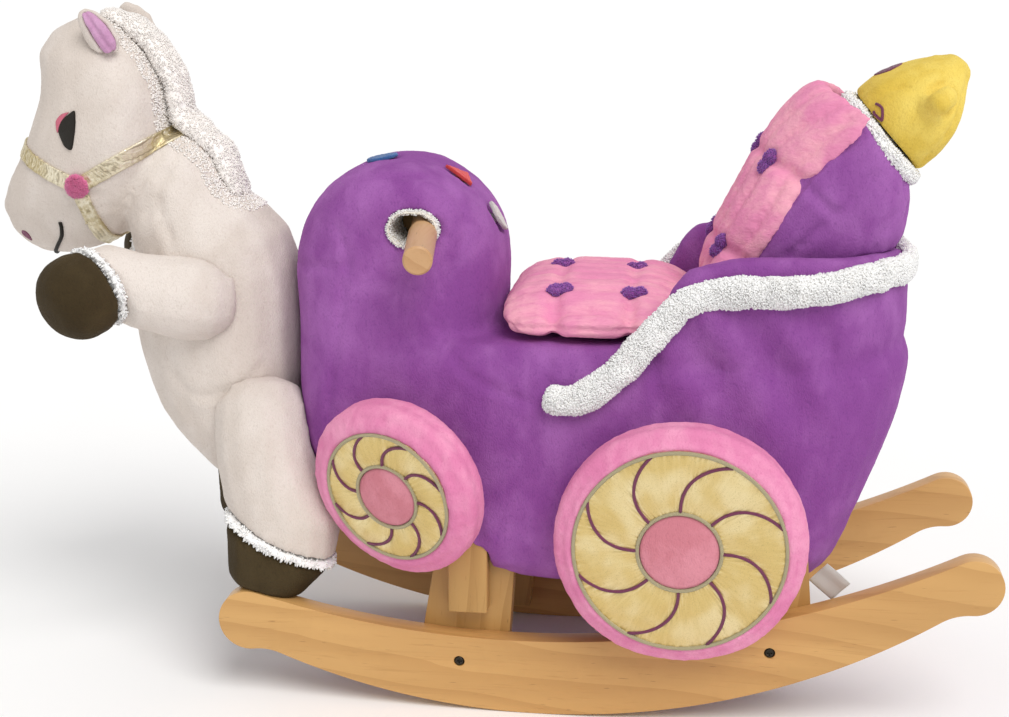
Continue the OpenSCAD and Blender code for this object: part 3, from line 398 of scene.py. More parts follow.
@dataclass(frozen=True)
class PlushFinish:
    """Short pile cloth: three tones, the size of its clumps and how deep it reads."""

    name: str
    base: str
    tip: str
    shade: str
    clump: float = 900.0
    brush: float = 9.0
    relief: float = 0.00045
    sheen: float = 0.25
    lay: Point = (1.0, 1.0, 0.6)

    def build(self) -> bpy.types.Material:
        """Makes the material."""
        sheet = Sheet(self.name)
        values = {
            "Base": linear(self.base),
            "Tip": linear(self.tip),
            "Shade": linear(self.shade),
            "Clump": self.clump,
            "Brush": self.brush,
            "Lay": self.lay,
        }
        sheet.covered(Effect.PILE, values, self.relief)
        sheet.plain(Sheen_Weight=self.sheen, Sheen_Roughness=0.45, Sheen_Tint=linear(self.tip))
        sheet.plain(Specular_IOR_Level=0.2)
        return sheet.material


@dataclass(frozen=True)
class FurFinish:
    """Long pile whose locks run from a shaded root to a pale tip."""

    name: str
    root: str
    tip: str
    sheen: float = 0.3
    relief: float = 0.0006

    def build(self) -> bpy.types.Material:
        """Makes the material, which reads each lock's own tone."""
        sheet = Sheet(self.name)
        w = sheet.wiring
        lock = w.add("ShaderNodeAttribute", attribute_name="lock").outputs["Fac"]
        where = w.place()
        fine = w.cloud(where, 1400.0, 2.0)
        drift = w.cloud(where, 40.0, 2.0)
        share = w.maths("ADD", lock, w.maths("MULTIPLY", w.maths("SUBTRACT", drift, 0.5), 0.5))
        tone = w.blend(w.steps(share, 0.0, 0.85), linear(self.root), linear(self.tip))
        sheet.wire(tone, w.maths("ADD", w.maths("MULTIPLY", fine, 0.3), 0.6), fine, self.relief)
        sheet.plain(Sheen_Weight=self.sheen, Sheen_Roughness=0.5, Specular_IOR_Level=0.05)
        return sheet.material


@dataclass(frozen=True)
class WoodFinish:
    """Lacquered or bare timber whose grain runs along one direction."""

    name: str
    pale: str
    dark: str
    fleck: str
    turn: Point = (0.0, 0.0, 0.0)
    coat: float = 0.25
    soil: float = 0.12
    relief: float = 0.00012

    def build(self) -> bpy.types.Material:
        """Makes the material."""
        sheet = Sheet(self.name)
        w = sheet.wiring
        where = w.place()
        along = w.add("ShaderNodeMapping", {"Vector": where, "Rotation": self.turn}).outputs[0]
        tones = {"Pale": linear(self.pale), "Dark": linear(self.dark), "Fleck": linear(self.fleck)}
        grain = sheet.effect(Effect.GRAIN, {"Vector": along, **tones}).outputs
        soil = sheet.effect(Effect.SOIL, {"Scale": 11.0, "Spread": 0.45}).outputs
        tone = w.blend(w.maths("MULTIPLY", soil["Mask"], self.soil), grain["Color"], linear(self.fleck))
        rough = w.maths("ADD", grain["Roughness"], soil["Roughness"])
        sheet.wire(tone, rough, grain["Height"], self.relief)
        sheet.plain(Coat_Weight=self.coat, Coat_Roughness=0.35, Specular_IOR_Level=0.4)
        return sheet.material


@dataclass(frozen=True)
class FoilFinish:
    """Metallic cloth with specks and creases; its glint tone is a painted highlight and its creases carry
    painted shade.
    """

    name: str
    base: str
    glint: str
    speck_and_crease_shade: str
    streaks: float = 420.0
    relief: float = 0.0012
    metallic: float = 0.7

    def build(self) -> bpy.types.Material:
        """Makes the material."""
        sheet = Sheet(self.name)
        w = sheet.wiring
        values = {
            "Weave": w.add("ShaderNodeAttribute", attribute_name="weave").outputs["Vector"],
            "Gather": w.add("ShaderNodeAttribute", attribute_name="gather").outputs["Fac"],
            "Base": linear(self.base),
            "Glint": linear(self.glint),
            "Speck_And_Crease_Shade": linear(self.speck_and_crease_shade),
            "Streaks": self.streaks,
        }
        sheet.covered(Effect.FOIL, values, self.relief)
        sheet.plain(Metallic=self.metallic)
        return sheet.material


@dataclass(frozen=True)
class ThreadFinish:
    """Embroidery or cord in close satin stitches."""

    name: str
    base: str
    light: str
    rows: float = 900.0
    turn: Point = (1.0, 0.3, 1.0)
    metallic: float = 0.0
    sheen: float = 0.2
    relief: float = 0.0004

    def build(self) -> bpy.types.Material:
        """Makes the material."""
        sheet = Sheet(self.name)
        tones = {"Base": linear(self.base), "Light": linear(self.light)}
        sheet.covered(Effect.THREAD, {**tones, "Rows": self.rows, "Turn": self.turn}, self.relief)
        sheet.plain(Metallic=self.metallic, Sheen_Weight=self.sheen, Specular_IOR_Level=0.3)
        return sheet.material


@dataclass(frozen=True)
class HardFinish:
    """Moulded plastic or plated metal with faint soil."""

    name: str
    base: str
    soil: str
    roughness: float = 0.45
    metallic: float = 0.0
    relief: float = 0.00008

    def build(self) -> bpy.types.Material:
        """Makes the material."""
        sheet = Sheet(self.name)
        w = sheet.wiring
        soil = sheet.effect(Effect.SOIL, {"Scale": 40.0, "Spread": 0.55}).outputs
        tone = w.blend(w.maths("MULTIPLY", soil["Mask"], 0.5), linear(self.base), linear(self.soil))
        rough = w.maths("ADD", soil["Roughness"], self.roughness)
        sheet.wire(tone, rough, w.cloud(w.place(), 2600.0), self.relief)
        sheet.plain(Metallic=self.metallic)
        return sheet.material


Finish = PlushFinish | FurFinish | WoodFinish | FoilFinish | ThreadFinish | HardFinish

PURPLE = PlushFinish("purple_plush", "8A4894", "A566AE", "622E72")
PINK = PlushFinish("pink_plush", "DF84AE", "EFA2C2", "C4628F", brush=14.0)
HUB_PINK = PlushFinish("hub_plush", "CE808C", "DE93A1", "AE6474", brush=20.0)
PINK_SEAT = PlushFinish("pink_quilt", "E58FB4", "F2AEBE", "CC6F98", 620.0, 22.0, lay=(0.22, 1.0, 1.0))
WHITE = PlushFinish("white_plush", "D5CAC1", "E4DBD4", "B8AA9E", brush=7.0, sheen=0.12)
YELLOW = PlushFinish("yellow_plush", "E0C050", "F0D66E", "B4963A", brush=12.0)
BROWN = PlushFinish("hoof_plush", "3A2E19", "4A3D25", "221A0E", sheen=0.08)
LILAC = PlushFinish("lilac_plush", "C795BA", "DAB0D0", "A2749A", brush=20.0)
CREAM = PlushFinish("cream_lining", "E6E0D2", "F3EFE6", "C6BDAA", clump=700.0, brush=20.0)
FUR = FurFinish("white_fur", "FCFAF6", "FFFFFF", 0.3)
MANE_FUR = FurFinish("mane_fur", "F8F2EC", "FFFAF6", 0.3)
PURPLE_FUR = FurFinish("tuft_pile", "7D3F9C", "A466C0")
PINK_FUR = FurFinish("pompom_wool", "DD669B", "F590BE")
MAPLE = WoodFinish("maple", "D0A263", "B4854A", "7F552A")
# Darker copy of the rail and seat-board timber, with painted shade for the leg boards that stand in the
# hull's shadow.
SHADED_PINE = WoodFinish("pine", "BC9358", "9C733C", "6F4C22", turn=(0.0, QUARTER, 0.0), coat=0.0)
RAIL_PINE = WoodFinish("rail_pine", "DFC08C", "CBA36D", "A27A48", turn=(0.0, 0.0, QUARTER), coat=0.0)
BOARD_PINE = WoodFinish("board_pine", "E0C28E", "CFA872", "A27A48", coat=0.0)
PEG_WOOD = WoodFinish("peg_wood", "C69C70", "AD7F52", "7E5730", turn=(0.0, 0.0, QUARTER), coat=0.15)
# In each foil the second tone is a painted highlight, and the third tone gives both the specks and the
# painted crease shade.
GOLD = FoilFinish("gold_cloth", "D6BC7A", "F6EBC4", "8C7840", streaks=380.0, relief=0.0010)
SILVER = FoilFinish("bridle_cloth", "C4B48A", "FBF6E6", "5E4C2E", streaks=520.0, relief=0.0016)
CORD = ThreadFinish("edge_cord", "A89C74", "D6CCA8", rows=700.0)
MAROON = ThreadFinish("spoke_thread", "74284E", "93446E")
BLACK_THREAD = ThreadFinish("black_thread", "15110B", "2A2316", sheen=0.0)
PINK_THREAD = ThreadFinish("pink_thread", "E2607E", "F2889E")
BLUE_THREAD = ThreadFinish("blue_patch", "2F66AE", "4C84C6")
RED_THREAD = ThreadFinish("red_patch", "D2242C", "EE4A48")
WHITE_THREAD = ThreadFinish("white_patch", "DCD8D2", "F4F2EE")
TAPE = ThreadFinish("tape", "ECE9E2", "F8F6F2", rows=1300.0, turn=(1.0, 0.2, 0.4))
BLACK_SCREW = HardFinish("dark_screw", "35322C", "5A5346", 0.4, 0.8)
ZINC_SCREW = HardFinish("zinc_screw", "B4B4B0", "77756C", 0.3, 1.0)
WHITE_CASE = HardFinish("white_plastic", "E6E6E0", "B9B5A6")
BLACK_CASE = HardFinish("black_plastic", "222224", "3C3A36")
CELL_WRAP = HardFinish("cell_wrap", "BFB25A", "7D743C", 0.35, 0.4)


def dress(piece: bpy.types.Object, finish: Finish) -> None:
    """Gives a piece one finish all over."""
    if finish not in _materials:
        _materials[finish] = finish.build()
    piece.data.materials.clear()
    piece.data.materials.append(_materials[finish])


# ---------------------------------------------------------------- mesh kit

WELD = 0.00002
PULL_IN = 0.5
SWELL_BACK = -0.53
PATH_STEPS = 6
LOOP_STEPS = 5
CORD_SIDES = 8
SKIRT = 0.0015
CLOTH_FRAMES = 20
FINE_LUMPS = 300.0
NOISE_SEED = 7


def vertices(piece: bpy.types.Object) -> np.ndarray:
    """Positions of a mesh's vertices, one row each."""
    out = np.zeros(len(piece.data.vertices) * 3)
    piece.data.vertices.foreach_get("co", out)
    return out.reshape(-1, 3)


def vertex_normals(piece: bpy.types.Object) -> np.ndarray:
    """Outward directions at a mesh's vertices, one row each."""
    out = np.zeros(len(piece.data.vertices) * 3)
    piece.data.vertex_normals.foreach_get("vector", out)
    return out.reshape(-1, 3)


def place(piece: bpy.types.Object, points: np.ndarray) -> None:
    """Moves a mesh's vertices to new positions."""
    piece.data.vertices.foreach_set("co", points.astype(np.float32).ravel())
    piece.data.update()


def note(piece: bpy.types.Object, name: str, values: np.ndarray) -> None:
    """Stores a number, or a vector, at each vertex under a name."""
    kind, field = ("FLOAT", "value") if values.ndim == 1 else ("FLOAT_VECTOR", "vector")
    layer = piece.data.attributes.new(name, kind, "POINT")
    layer.data.foreach_set(field, values.astype(np.float32).ravel())


def smooth(value: np.ndarray | float, low: float, high: float) -> np.ndarray:
    """A soft step from 0 at one level to 1 at another."""
    share = np.clip((np.asarray(value, float) - low) / (high - low), 0, 1)
    return share * share * (3 - 2 * share)


def linked(name: str, data: bpy.types.ID) -> bpy.types.Object:
    """An object that holds some data, placed in the scene."""
    thing = bpy.data.objects.new(name, data)
    bpy.context.scene.collection.objects.link(thing)
    return thing


def new_piece(name: str, points: np.ndarray | Sequence, faces: Sequence) -> bpy.types.Object:
    """Makes a mesh object from points and faces."""
    mesh = bpy.data.meshes.new(name)
    mesh.from_pydata([tuple(p) for p in points], [], faces)
    mesh.validate()
    mesh.shade_smooth()
    return linked(name, mesh)


def from_bmesh(name: str, bm: bmesh.types.BMesh) -> bpy.types.Object:
    """Makes a mesh object from an open mesh, and closes that."""
    mesh = bpy.data.meshes.new(name)
    bm.to_mesh(mesh)
    bm.free()
    return linked(name, mesh)


@contextmanager
def edited(piece: bpy.types.Object) -> Iterator[bmesh.types.BMesh]:
    """Opens a piece's mesh for editing, and writes it back afterwards."""
    bm = bmesh.new()
    bm.from_mesh(piece.data)
    yield bm
    bm.to_mesh(piece.data)
    bm.free()


def outward(piece: bpy.types.Object) -> bpy.types.Object:
    """Turns every face of a closed mesh outwards."""
    with edited(piece) as bm:
        bmesh.ops.recalc_face_normals(bm, faces=bm.faces)
    return piece


def wrapped(rows: int, turns: int, rings: int | None = None) -> Faces:
    """Faces between neighbouring rings of points.

    Args:
        rows: How many rows of faces there are.
        turns: How many points each ring has.
        rings: How many rings there are, when the last row joins the first ring again.

    Returns:
        Four corners for each face, row by row.
    """
    rings = rings or rows + 1
    return [
        (
            j * turns + k,
            j * turns + (k + 1) % turns,
            (j + 1) % rings * turns + (k + 1) % turns,
            (j + 1) % rings * turns + k,
        )
        for j in range(rows)
        for k in range(turns)
    ]


def polar(radius: float, angle: float, level: float) -> Point:
    """A point so far from the Z axis, at an angle round it and a level along it."""
    return (radius * math.cos(angle), radius * math.sin(angle), level)


def applied(piece: bpy.types.Object) -> bpy.types.Object:
    """Turns a piece's modifiers into its own mesh."""
    graph = bpy.context.evaluated_depsgraph_get()
    mesh = bpy.data.meshes.new_from_object(piece.evaluated_get(graph))
    piece.modifiers.clear()
    old = piece.data
    piece.data = mesh
    bpy.data.meshes.remove(old)
    return piece


def from_solids(name: str, nodes: Iterable[str]) -> bpy.types.Object:
    """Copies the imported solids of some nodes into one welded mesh."""
    bm = bmesh.new()
    for node in nodes:
        bm.from_mesh(frame["nodes"][node].data)
    bmesh.ops.remove_doubles(bm, verts=bm.verts, dist=WELD)
    return from_bmesh(name, bm)


def relax(piece: bpy.types.Object, passes: int) -> None:
    """Smooths a mesh by averaging neighbours, with a pass that swells it back after each one."""
    points = vertices(piece)
    edges = np.zeros(len(piece.data.edges) * 2, int)
    piece.data.edges.foreach_get("vertices", edges)
    a, b = edges.reshape(-1, 2).T
    count = len(points)
    degree = np.bincount(np.concatenate([a, b]), minlength=count)[:, None]
    for step in range(passes * 2):
        pull = SWELL_BACK if step % 2 else PULL_IN
        sums = [
            np.bincount(a, points[b, k], minlength=count) + np.bincount(b, points[a, k], minlength=count)
            for k in range(3)
        ]
        points = points + pull * (np.stack(sums, axis=1) / np.maximum(degree, 1) - points)
    place(piece, points)


def remade(piece: bpy.types.Object, voxel: float, passes: int) -> bpy.types.Object:
    """Rebuilds a closed mesh from small even faces, and smooths it."""
    remesh = piece.modifiers.new("Remesh", "REMESH")
    remesh.mode = "VOXEL"
    remesh.voxel_size = voxel
    applied(piece)
    relax(piece, passes)
    piece.data.shade_smooth()
    return piece


def soft_form(
    name: str,
    nodes: Iterable[str],
    voxel: float,
    passes: int,
    balls: Sequence[tuple[Vector, float]] = (),
) -> bpy.types.Object:
    """One even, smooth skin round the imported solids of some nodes.

    Args:
        name: Name of the piece.
        nodes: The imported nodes.
        voxel: Size of its faces.
        passes: How often it is smoothed.
        balls: Centres and radii of stuffed lumps that swell it.

    Returns:
        The smooth piece.
    """
    piece = from_solids(name, nodes)
    with edited(piece) as bm:
        for centre, radius in balls:
            bmesh.ops.create_icosphere(bm, subdivisions=3, radius=radius, matrix=Matrix.Translation(centre))
    return remade(piece, voxel, passes)


def subdivided(piece: bpy.types.Object) -> bpy.types.Object:
    """Splits every face in four, smoothly."""
    piece.modifiers.new("Subdivision", "SUBSURF").levels = 1
    return applied(piece)


def ruffle(piece: bpy.types.Object, depth: float, scale: float, seed: float) -> None:
    """Pushes a surface in and out by noise, at so many lumps a metre."""
    points = vertices(piece)
    start = Vector((seed, -seed, 0.5 * seed))
    lumps = np.array([noise.fractal(Vector(p) * scale + start, 1.0, 2.0, 2) for p in points])
    push_out(piece, depth * lumps)


def push_out(piece: bpy.types.Object, far: np.ndarray | float) -> None:
    """Moves each vertex out of the surface by its own distance, in metres."""
    place(piece, vertices(piece) + vertex_normals(piece) * np.atleast_1d(far)[:, None])


def line_field(points: np.ndarray, path: Sequence[Point]) -> Field:
    """Distance of each point from a polyline, and how far along it the nearest place is."""
    line = np.array(path, float)
    best = np.full(len(points), 1e9)
    along = np.zeros(len(points))
    run = 0.0
    for start, end in zip(line[:-1], line[1:]):
        step = end - start
        length = float(np.linalg.norm(step))
        t = np.clip((points - start) @ step / max(length**2, 1e-12), 0, 1)
        gap = np.linalg.norm(points - start - t[:, None] * step, axis=1)
        near = gap < best
        best[near] = gap[near]
        along[near] = run + t[near] * length
        run += length
    return best, along


def bend(a: np.ndarray, b: np.ndarray, c: np.ndarray, d: np.ndarray, count: int) -> list[Point]:
    """Points on the curve from b towards c, whose ends follow their neighbours a and d."""
    out = []
    for k in range(count):
        t = k / count
        p = 0.5 * (2 * b + (c - a) * t + (2 * a - 5 * b + 4 * c - d) * t**2 + (3 * b - a - 3 * c + d) * t**3)
        out.append(tuple(p))
    return out


def smooth_path(path: Sequence[Point]) -> list[Point]:
    """An open curve through some points."""
    line = [np.array(p, float) for p in path]
    last = len(line) - 1
    out: list[Point] = []
    for i in range(last):
        out += bend(line[max(i - 1, 0)], line[i], line[i + 1], line[min(i + 2, last)], PATH_STEPS)
    return out + [tuple(line[-1])]


def smooth_loop(outline: Sequence[Point]) -> list[Point]:
    """A closed curve through some corners."""
    line = [np.array(p, float) for p in outline]
    n = len(line)
    out: list[Point] = []
    for i in range(n):
        out += bend(line[i - 1], line[i], line[(i + 1) % n], line[(i + 2) % n], LOOP_STEPS)
    return out


@dataclass(frozen=True)
class Seam:
    """A sewn line: how wide and deep it pulls in, and the puckers along it."""

    width: float = 0.0035
    depth: float = 0.0022
    pucker: float = 0.3
    pitch: float = 0.014
    swell: float = 0.25


def sew(piece: bpy.types.Object, field: Field, seam: Seam = Seam()) -> None:
    """Pulls the cloth in along a line and lets it swell beside it.

    Args:
        piece: The mesh to sew.
        field: Distance of each vertex from the line, and place along it.
        seam: The size of the seam.
    """
    gap, along = field
    wave = 1 + seam.pucker * np.sin(along * FULL / seam.pitch + 2.3 * np.sin(along * 90))
    inward = np.exp(-((gap / seam.width) ** 2)) * wave
    beside = np.exp(-(((gap - 2.6 * seam.width) / (1.4 * seam.width)) ** 2)) * seam.swell * wave
    push_out(piece, seam.depth * (beside - inward))


def metres(path: Sequence[Point]) -> list[Point]:
    """Points given in millimetres, in metres."""
    return [(x * MM, y * MM, z * MM) for x, y, z in path]


def sew_both(piece: bpy.types.Object, path: Sequence[Point], seam: Seam) -> None:
    """Sews a line given in millimetres, and its mirror image on the other side of the toy."""
    near = metres(path)
    for side in (near, [(x, -y, z) for x, y, z in near]):
        sew(piece, line_field(vertices(piece), smooth_path(side)), seam)


def inflate(piece: bpy.types.Object, pressure: float, cap: float, pinned: np.ndarray) -> None:
    """Blows a closed skin up as cloth, between the places where it is sewn down.

    Args:
        piece: The closed mesh.
        pressure: Pressure inside it.
        cap: The furthest that a point may move, in metres.
        pinned: How firmly each vertex is held, from 0 to 1.
    """
    before = vertices(piece)
    cloth = piece.modifiers.new("Cloth", "CLOTH")
    settings = cloth.settings
    settings.quality = 4
    settings.mass = 0.25
    settings.tension_stiffness = 12
    settings.compression_stiffness = 8
    settings.shear_stiffness = 5
    settings.bending_stiffness = 1.2
    settings.use_pressure = True
    settings.uniform_pressure_force = pressure
    settings.effector_weights.gravity = 0
    cloth.collision_settings.use_collision = False
    group = piece.vertex_groups.new(name="sewn")
    for i in np.nonzero(pinned > 0.02)[0]:
        group.add([int(i)], float(min(1.0, pinned[i])), "REPLACE")
    settings.vertex_group_mass = "sewn"
    scene = bpy.context.scene
    scene.frame_start, scene.frame_end = 1, CLOTH_FRAMES
    for step in range(1, CLOTH_FRAMES + 1):
        scene.frame_set(step)
    graph = bpy.context.evaluated_depsgraph_get()
    blown = piece.evaluated_get(graph).to_mesh()
    after = np.zeros(len(blown.vertices) * 3)
    blown.vertices.foreach_get("co", after)
    move = after.reshape(-1, 3) - before
    piece.evaluated_get(graph).to_mesh_clear()
    piece.modifiers.clear()
    piece.vertex_groups.clear()
    scene.frame_set(1)
    size = np.linalg.norm(move, axis=1, keepdims=True)
    place(piece, before + move * np.minimum(1, cap / np.maximum(size, 1e-9)))


def tree_of(piece: bpy.types.Object) -> BVHTree:
    """A search tree of a mesh, for dropping things onto it."""
    polygons = [tuple(p.vertices) for p in piece.data.polygons]
    return BVHTree.FromPolygons([Vector(p) for p in vertices(piece)], polygons)


@dataclass(frozen=True)
class Locks:
    """Locks of long pile: how long and thick they are, and how they lie."""

    length: float
    radius: float
    lean: Point = (0.0, 0.0, -0.3)
    spread: float = 0.45
    sides: int = 3


def sample(piece: bpy.types.Object, count: int, seed: int) -> tuple[np.ndarray, np.ndarray]:
    """Places spread evenly over a mesh, and the outward direction at each."""
    rng = np.random.default_rng(seed)
    mesh = piece.data
    mesh.calc_loop_triangles()
    corner = np.zeros(len(mesh.loop_triangles) * 3, int)
    mesh.loop_triangles.foreach_get("vertices", corner)
    corner = corner.reshape(-1, 3)
    points, normals = vertices(piece), vertex_normals(piece)
    a, b, c = (points[corner[:, k]] for k in range(3))
    area = np.linalg.norm(np.cross(b - a, c - a), axis=1)
    pick = rng.choice(len(corner), count, p=area / area.sum())
    u, v = rng.random(count), rng.random(count)
    flip = u + v > 1
    u[flip], v[flip] = 1 - u[flip], 1 - v[flip]
    weights = np.stack([1 - u - v, u, v], axis=1)
    where = np.einsum("ij,ijk->ik", weights, points[corner[pick]])
    out = np.einsum("ij,ijk->ik", weights, normals[corner[pick]])
    return where, out / np.maximum(np.linalg.norm(out, axis=1, keepdims=True), 1e-9)


def grow_locks(name: str, roots: np.ndarray, out: np.ndarray, locks: Locks, seed: int) -> bpy.types.Object:
    """Covers places with tapered, bent locks of fibre, each a closed little cone.

    Args:
        name: Name of the new piece.
        roots: Where the locks start.
        out: The outward direction at each root.
        locks: Their size and lie.
        seed: Seed of the random draws.

    Returns:
        The piece, with a tone from root to tip in its attribute "lock".
    """
    rng = np.random.default_rng(seed)
    n = len(roots)
    swirl = np.array([noise.noise_vector(Vector(p) * 70) for p in roots])
    way = out + np.array(locks.lean) + locks.spread * (0.6 * rng.normal(size=(n, 3)) + swirl)
    way /= np.linalg.norm(way, axis=1, keepdims=True)
    side = np.cross(way, rng.normal(size=(n, 3)))
    side /= np.linalg.norm(side, axis=1, keepdims=True)
    other = np.cross(way, side)
    length = locks.length * rng.uniform(0.6, 1.15, (n, 1))
    droop = 0.35 * (swirl + 0.5 * np.array(locks.lean))
    rings, tones = [], []
    tone = rng.uniform(-0.12, 0.12, n)
    for share, thick in ((-0.15, 1.0), (0.45, 0.8), (0.85, 0.42)):
        centre = roots + length * (share * way + share * abs(share) * droop)
        for k in range(locks.sides):
            turn = FULL * k / locks.sides
            across = math.cos(turn) * side + math.sin(turn) * other
            rings.append(centre + locks.radius * thick * across)
            tones.append(0.15 + 0.75 * max(share, 0) + tone)
    rings.append(roots + length * (1.08 * way + 1.1 * droop))
    tones.append(1.0 + tone)
    s = locks.sides
    per = 3 * s + 1
    points = np.stack(rings, axis=1).reshape(-1, 3)
    tips = [(2 * s + k, 2 * s + (k + 1) % s, 3 * s) for k in range(s)]
    lock = (tuple(range(s - 1, -1, -1)), *wrapped(2, s), *tips)
    faces = [tuple(i * per + v for v in f) for i in range(n) for f in lock]
    piece = new_piece(name, points, faces)
    note(piece, "lock", np.stack(tones, axis=1).ravel())
    return piece


def tube(name: str, path: Sequence[Point], radius: float, closed: bool = False) -> bpy.types.Object:
    """A round cord along a path, closed at its ends or in a loop."""
    sides = CORD_SIDES
    line = np.array(path, float)
    n = len(line)
    ahead = np.roll(line, -1, axis=0) - np.roll(line, 1, axis=0)
    if not closed:
        ahead[0], ahead[-1] = line[1] - line[0], line[-1] - line[-2]
    ahead /= np.maximum(np.linalg.norm(ahead, axis=1, keepdims=True), 1e-9)
    side = np.cross(ahead[0], (0.3, 0.5, 0.81))
    frames = []
    for d in ahead:
        side = side - d * (side @ d)
        side /= np.linalg.norm(side)
        frames.append((side, np.cross(d, side)))
    points = [
        line[i] + radius * (math.cos(t) * u + math.sin(t) * v)
        for i, (u, v) in enumerate(frames)
        for t in (FULL * k / sides for k in range(sides))
    ]
    faces = wrapped(n if closed else n - 1, sides, n)
    if not closed:
        faces.append(tuple(range(sides - 1, -1, -1)))
        faces.append(tuple((n - 1) * sides + k for k in range(sides)))
    return new_piece(name, points, faces)


def laid_on(surface: BVHTree, path: Sequence[Point], lift: float) -> list[Point]:
    """Moves a path's points onto a surface, and then out from it."""
    out = []
    for p in path:
        where, normal, _, _ = surface.find_nearest(Vector(p))
        out.append(tuple(where + normal * lift))
    return out


def patch_on(
    name: str, surface: BVHTree, outline: Sequence[Point], rise: float, dome: float = 0.0006
) -> bpy.types.Object:
    """A thin stitched patch that follows a surface inside an outline.

    Args:
        name: Name of the new piece.
        surface: What it is sewn to.
        outline: Corners of the patch, near the surface.
        rise: How far its edge stands out.
        dome: How much further its middle stands out.

    Returns:
        The patch, with a skirt that goes into the surface.
    """
    edge = np.array(smooth_loop(outline))
    middle = edge.mean(axis=0)
    rings = [1.0, 0.97, 0.85, 0.65, 0.45, 0.25, 0.1]
    points: list[Vector] = []
    n = len(edge)
    for j, share in enumerate(rings):
        for p in edge:
            where, normal, _, _ = surface.find_nearest(Vector(middle + share * (p - middle)))
            lift = rise * (0.55 if j == 0 else 1.0) + dome * (1 - share**2)
            points.append(where + normal * lift)
    skirt = [points[i] - (surface.find_nearest(points[i])[1] * (rise + SKIRT)) for i in range(n)]
    where, normal, _, _ = surface.find_nearest(Vector(middle))
    points.append(where + normal * (rise + dome))
    centre = len(points) - 1
    points.extend(skirt)
    under = len(points)
    points.append(where - normal * SKIRT)
    faces = wrapped(len(rings) - 1, n)
    last = (len(rings) - 1) * n
    for k in range(n):
        m = (k + 1) % n
        faces.append((last + k, last + m, centre))
        faces.append((centre + 1 + k, centre + 1 + m, m, k))
        faces.append((centre + 1 + m, centre + 1 + k, under))
    return outward(new_piece(name, points, faces))


def joined(name: str, parts: Sequence[bpy.types.Object]) -> bpy.types.Object:
    """Makes one piece of several."""
    bm = bmesh.new()
    for part in parts:
        bm.from_mesh(part.data)
    piece = from_bmesh(name, bm)
    piece.data.shade_smooth()
    for part in parts:
        old = part.data
        bpy.data.objects.remove(part)
        bpy.data.meshes.remove(old)
    return piece


def report(
    piece: bpy.types.Object, finish: Finish, nodes: Sequence[str] = (), body: str = TOY
) -> None:
    """Dresses a finished piece, makes it ride on its body and hides the nodes that it stands for."""
    dress(piece, finish)
    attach(piece, body)
    if nodes:
        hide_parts(*nodes)
    LOG.info("%s: %d vertices, %s", piece.name, len(piece.data.vertices), finish.name)


@dataclass(frozen=True)
class Rumple:
    """How stuffed cloth wanders: depth and lumps a metre of its swells, then depth of its fine surface."""

    depth: float
    scale: float
    seed: float
    fine: float = 0.00018
    fine_seed: float = 4.0


def upholster(
    piece: bpy.types.Object, finish: Finish, nodes: Sequence[str], rumple: Rumple
) -> None:
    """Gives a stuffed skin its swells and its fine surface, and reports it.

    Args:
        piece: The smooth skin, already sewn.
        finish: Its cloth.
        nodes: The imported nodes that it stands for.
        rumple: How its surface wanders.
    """
    ruffle(piece, rumple.depth, rumple.scale, rumple.seed)
    subdivided(piece)
    ruffle(piece, rumple.fine, FINE_LUMPS, rumple.fine_seed)
    report(piece, finish, nodes)


# ---------------------------------------------------------------- wooden frame


@dataclass
class WoodenFrame:
    """The two bows, the leg boards between them, the seat board and the hand pegs."""

    bevel: float = 0.0016
    bows: tuple[str, ...] = ("rocker_left", "rocker_right")
    uprights: tuple[str, ...] = (
        "leg_front_left", "leg_front_right", "leg_rear_left", "leg_rear_right", "glue_blocks"
    )
    hidden: tuple[str, ...] = ("handle_post", "back_board")

    def timber(self, node: str, finish: WoodFinish) -> None:
        """A board with its edges eased, in place of its solid.

        Args:
            node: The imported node.
            finish: Its timber.
        """
        piece = from_solids(node + "_timber", [node])
        with edited(piece) as bm:
            bmesh.ops.dissolve_limit(bm, angle_limit=math.radians(0.3), verts=bm.verts, edges=bm.edges)
        bevel = piece.modifiers.new("Bevel", "BEVEL")
        bevel.width = self.bevel
        bevel.segments = 3
        bevel.limit_method = "ANGLE"
        bevel.angle_limit = math.radians(40)
        applied(piece)
        piece.data.shade_smooth()
        piece.data.set_sharp_from_angle(angle=math.radians(32))
        report(piece, finish, [node])

    def build(self) -> None:
        """Builds every board and dresses the nodes that stay."""
        for node in self.bows:
            self.timber(node, MAPLE)
        # The leg boards take the darker timber copy with painted shade.
        for node in self.uprights:
            self.timber(node, SHADED_PINE)
        self.timber("cross_rails", RAIL_PINE)
        self.timber("seat_board", BOARD_PINE)
        for node in self.hidden:
            dress(frame["nodes"][node], SHADED_PINE)
        for node in ("handle_left", "handle_right"):
            dress(frame["nodes"][node], PEG_WOOD)
        dress(frame["nodes"]["rocker_screws"], BLACK_SCREW)
        dress(frame["nodes"]["frame_screws"], ZINC_SCREW)


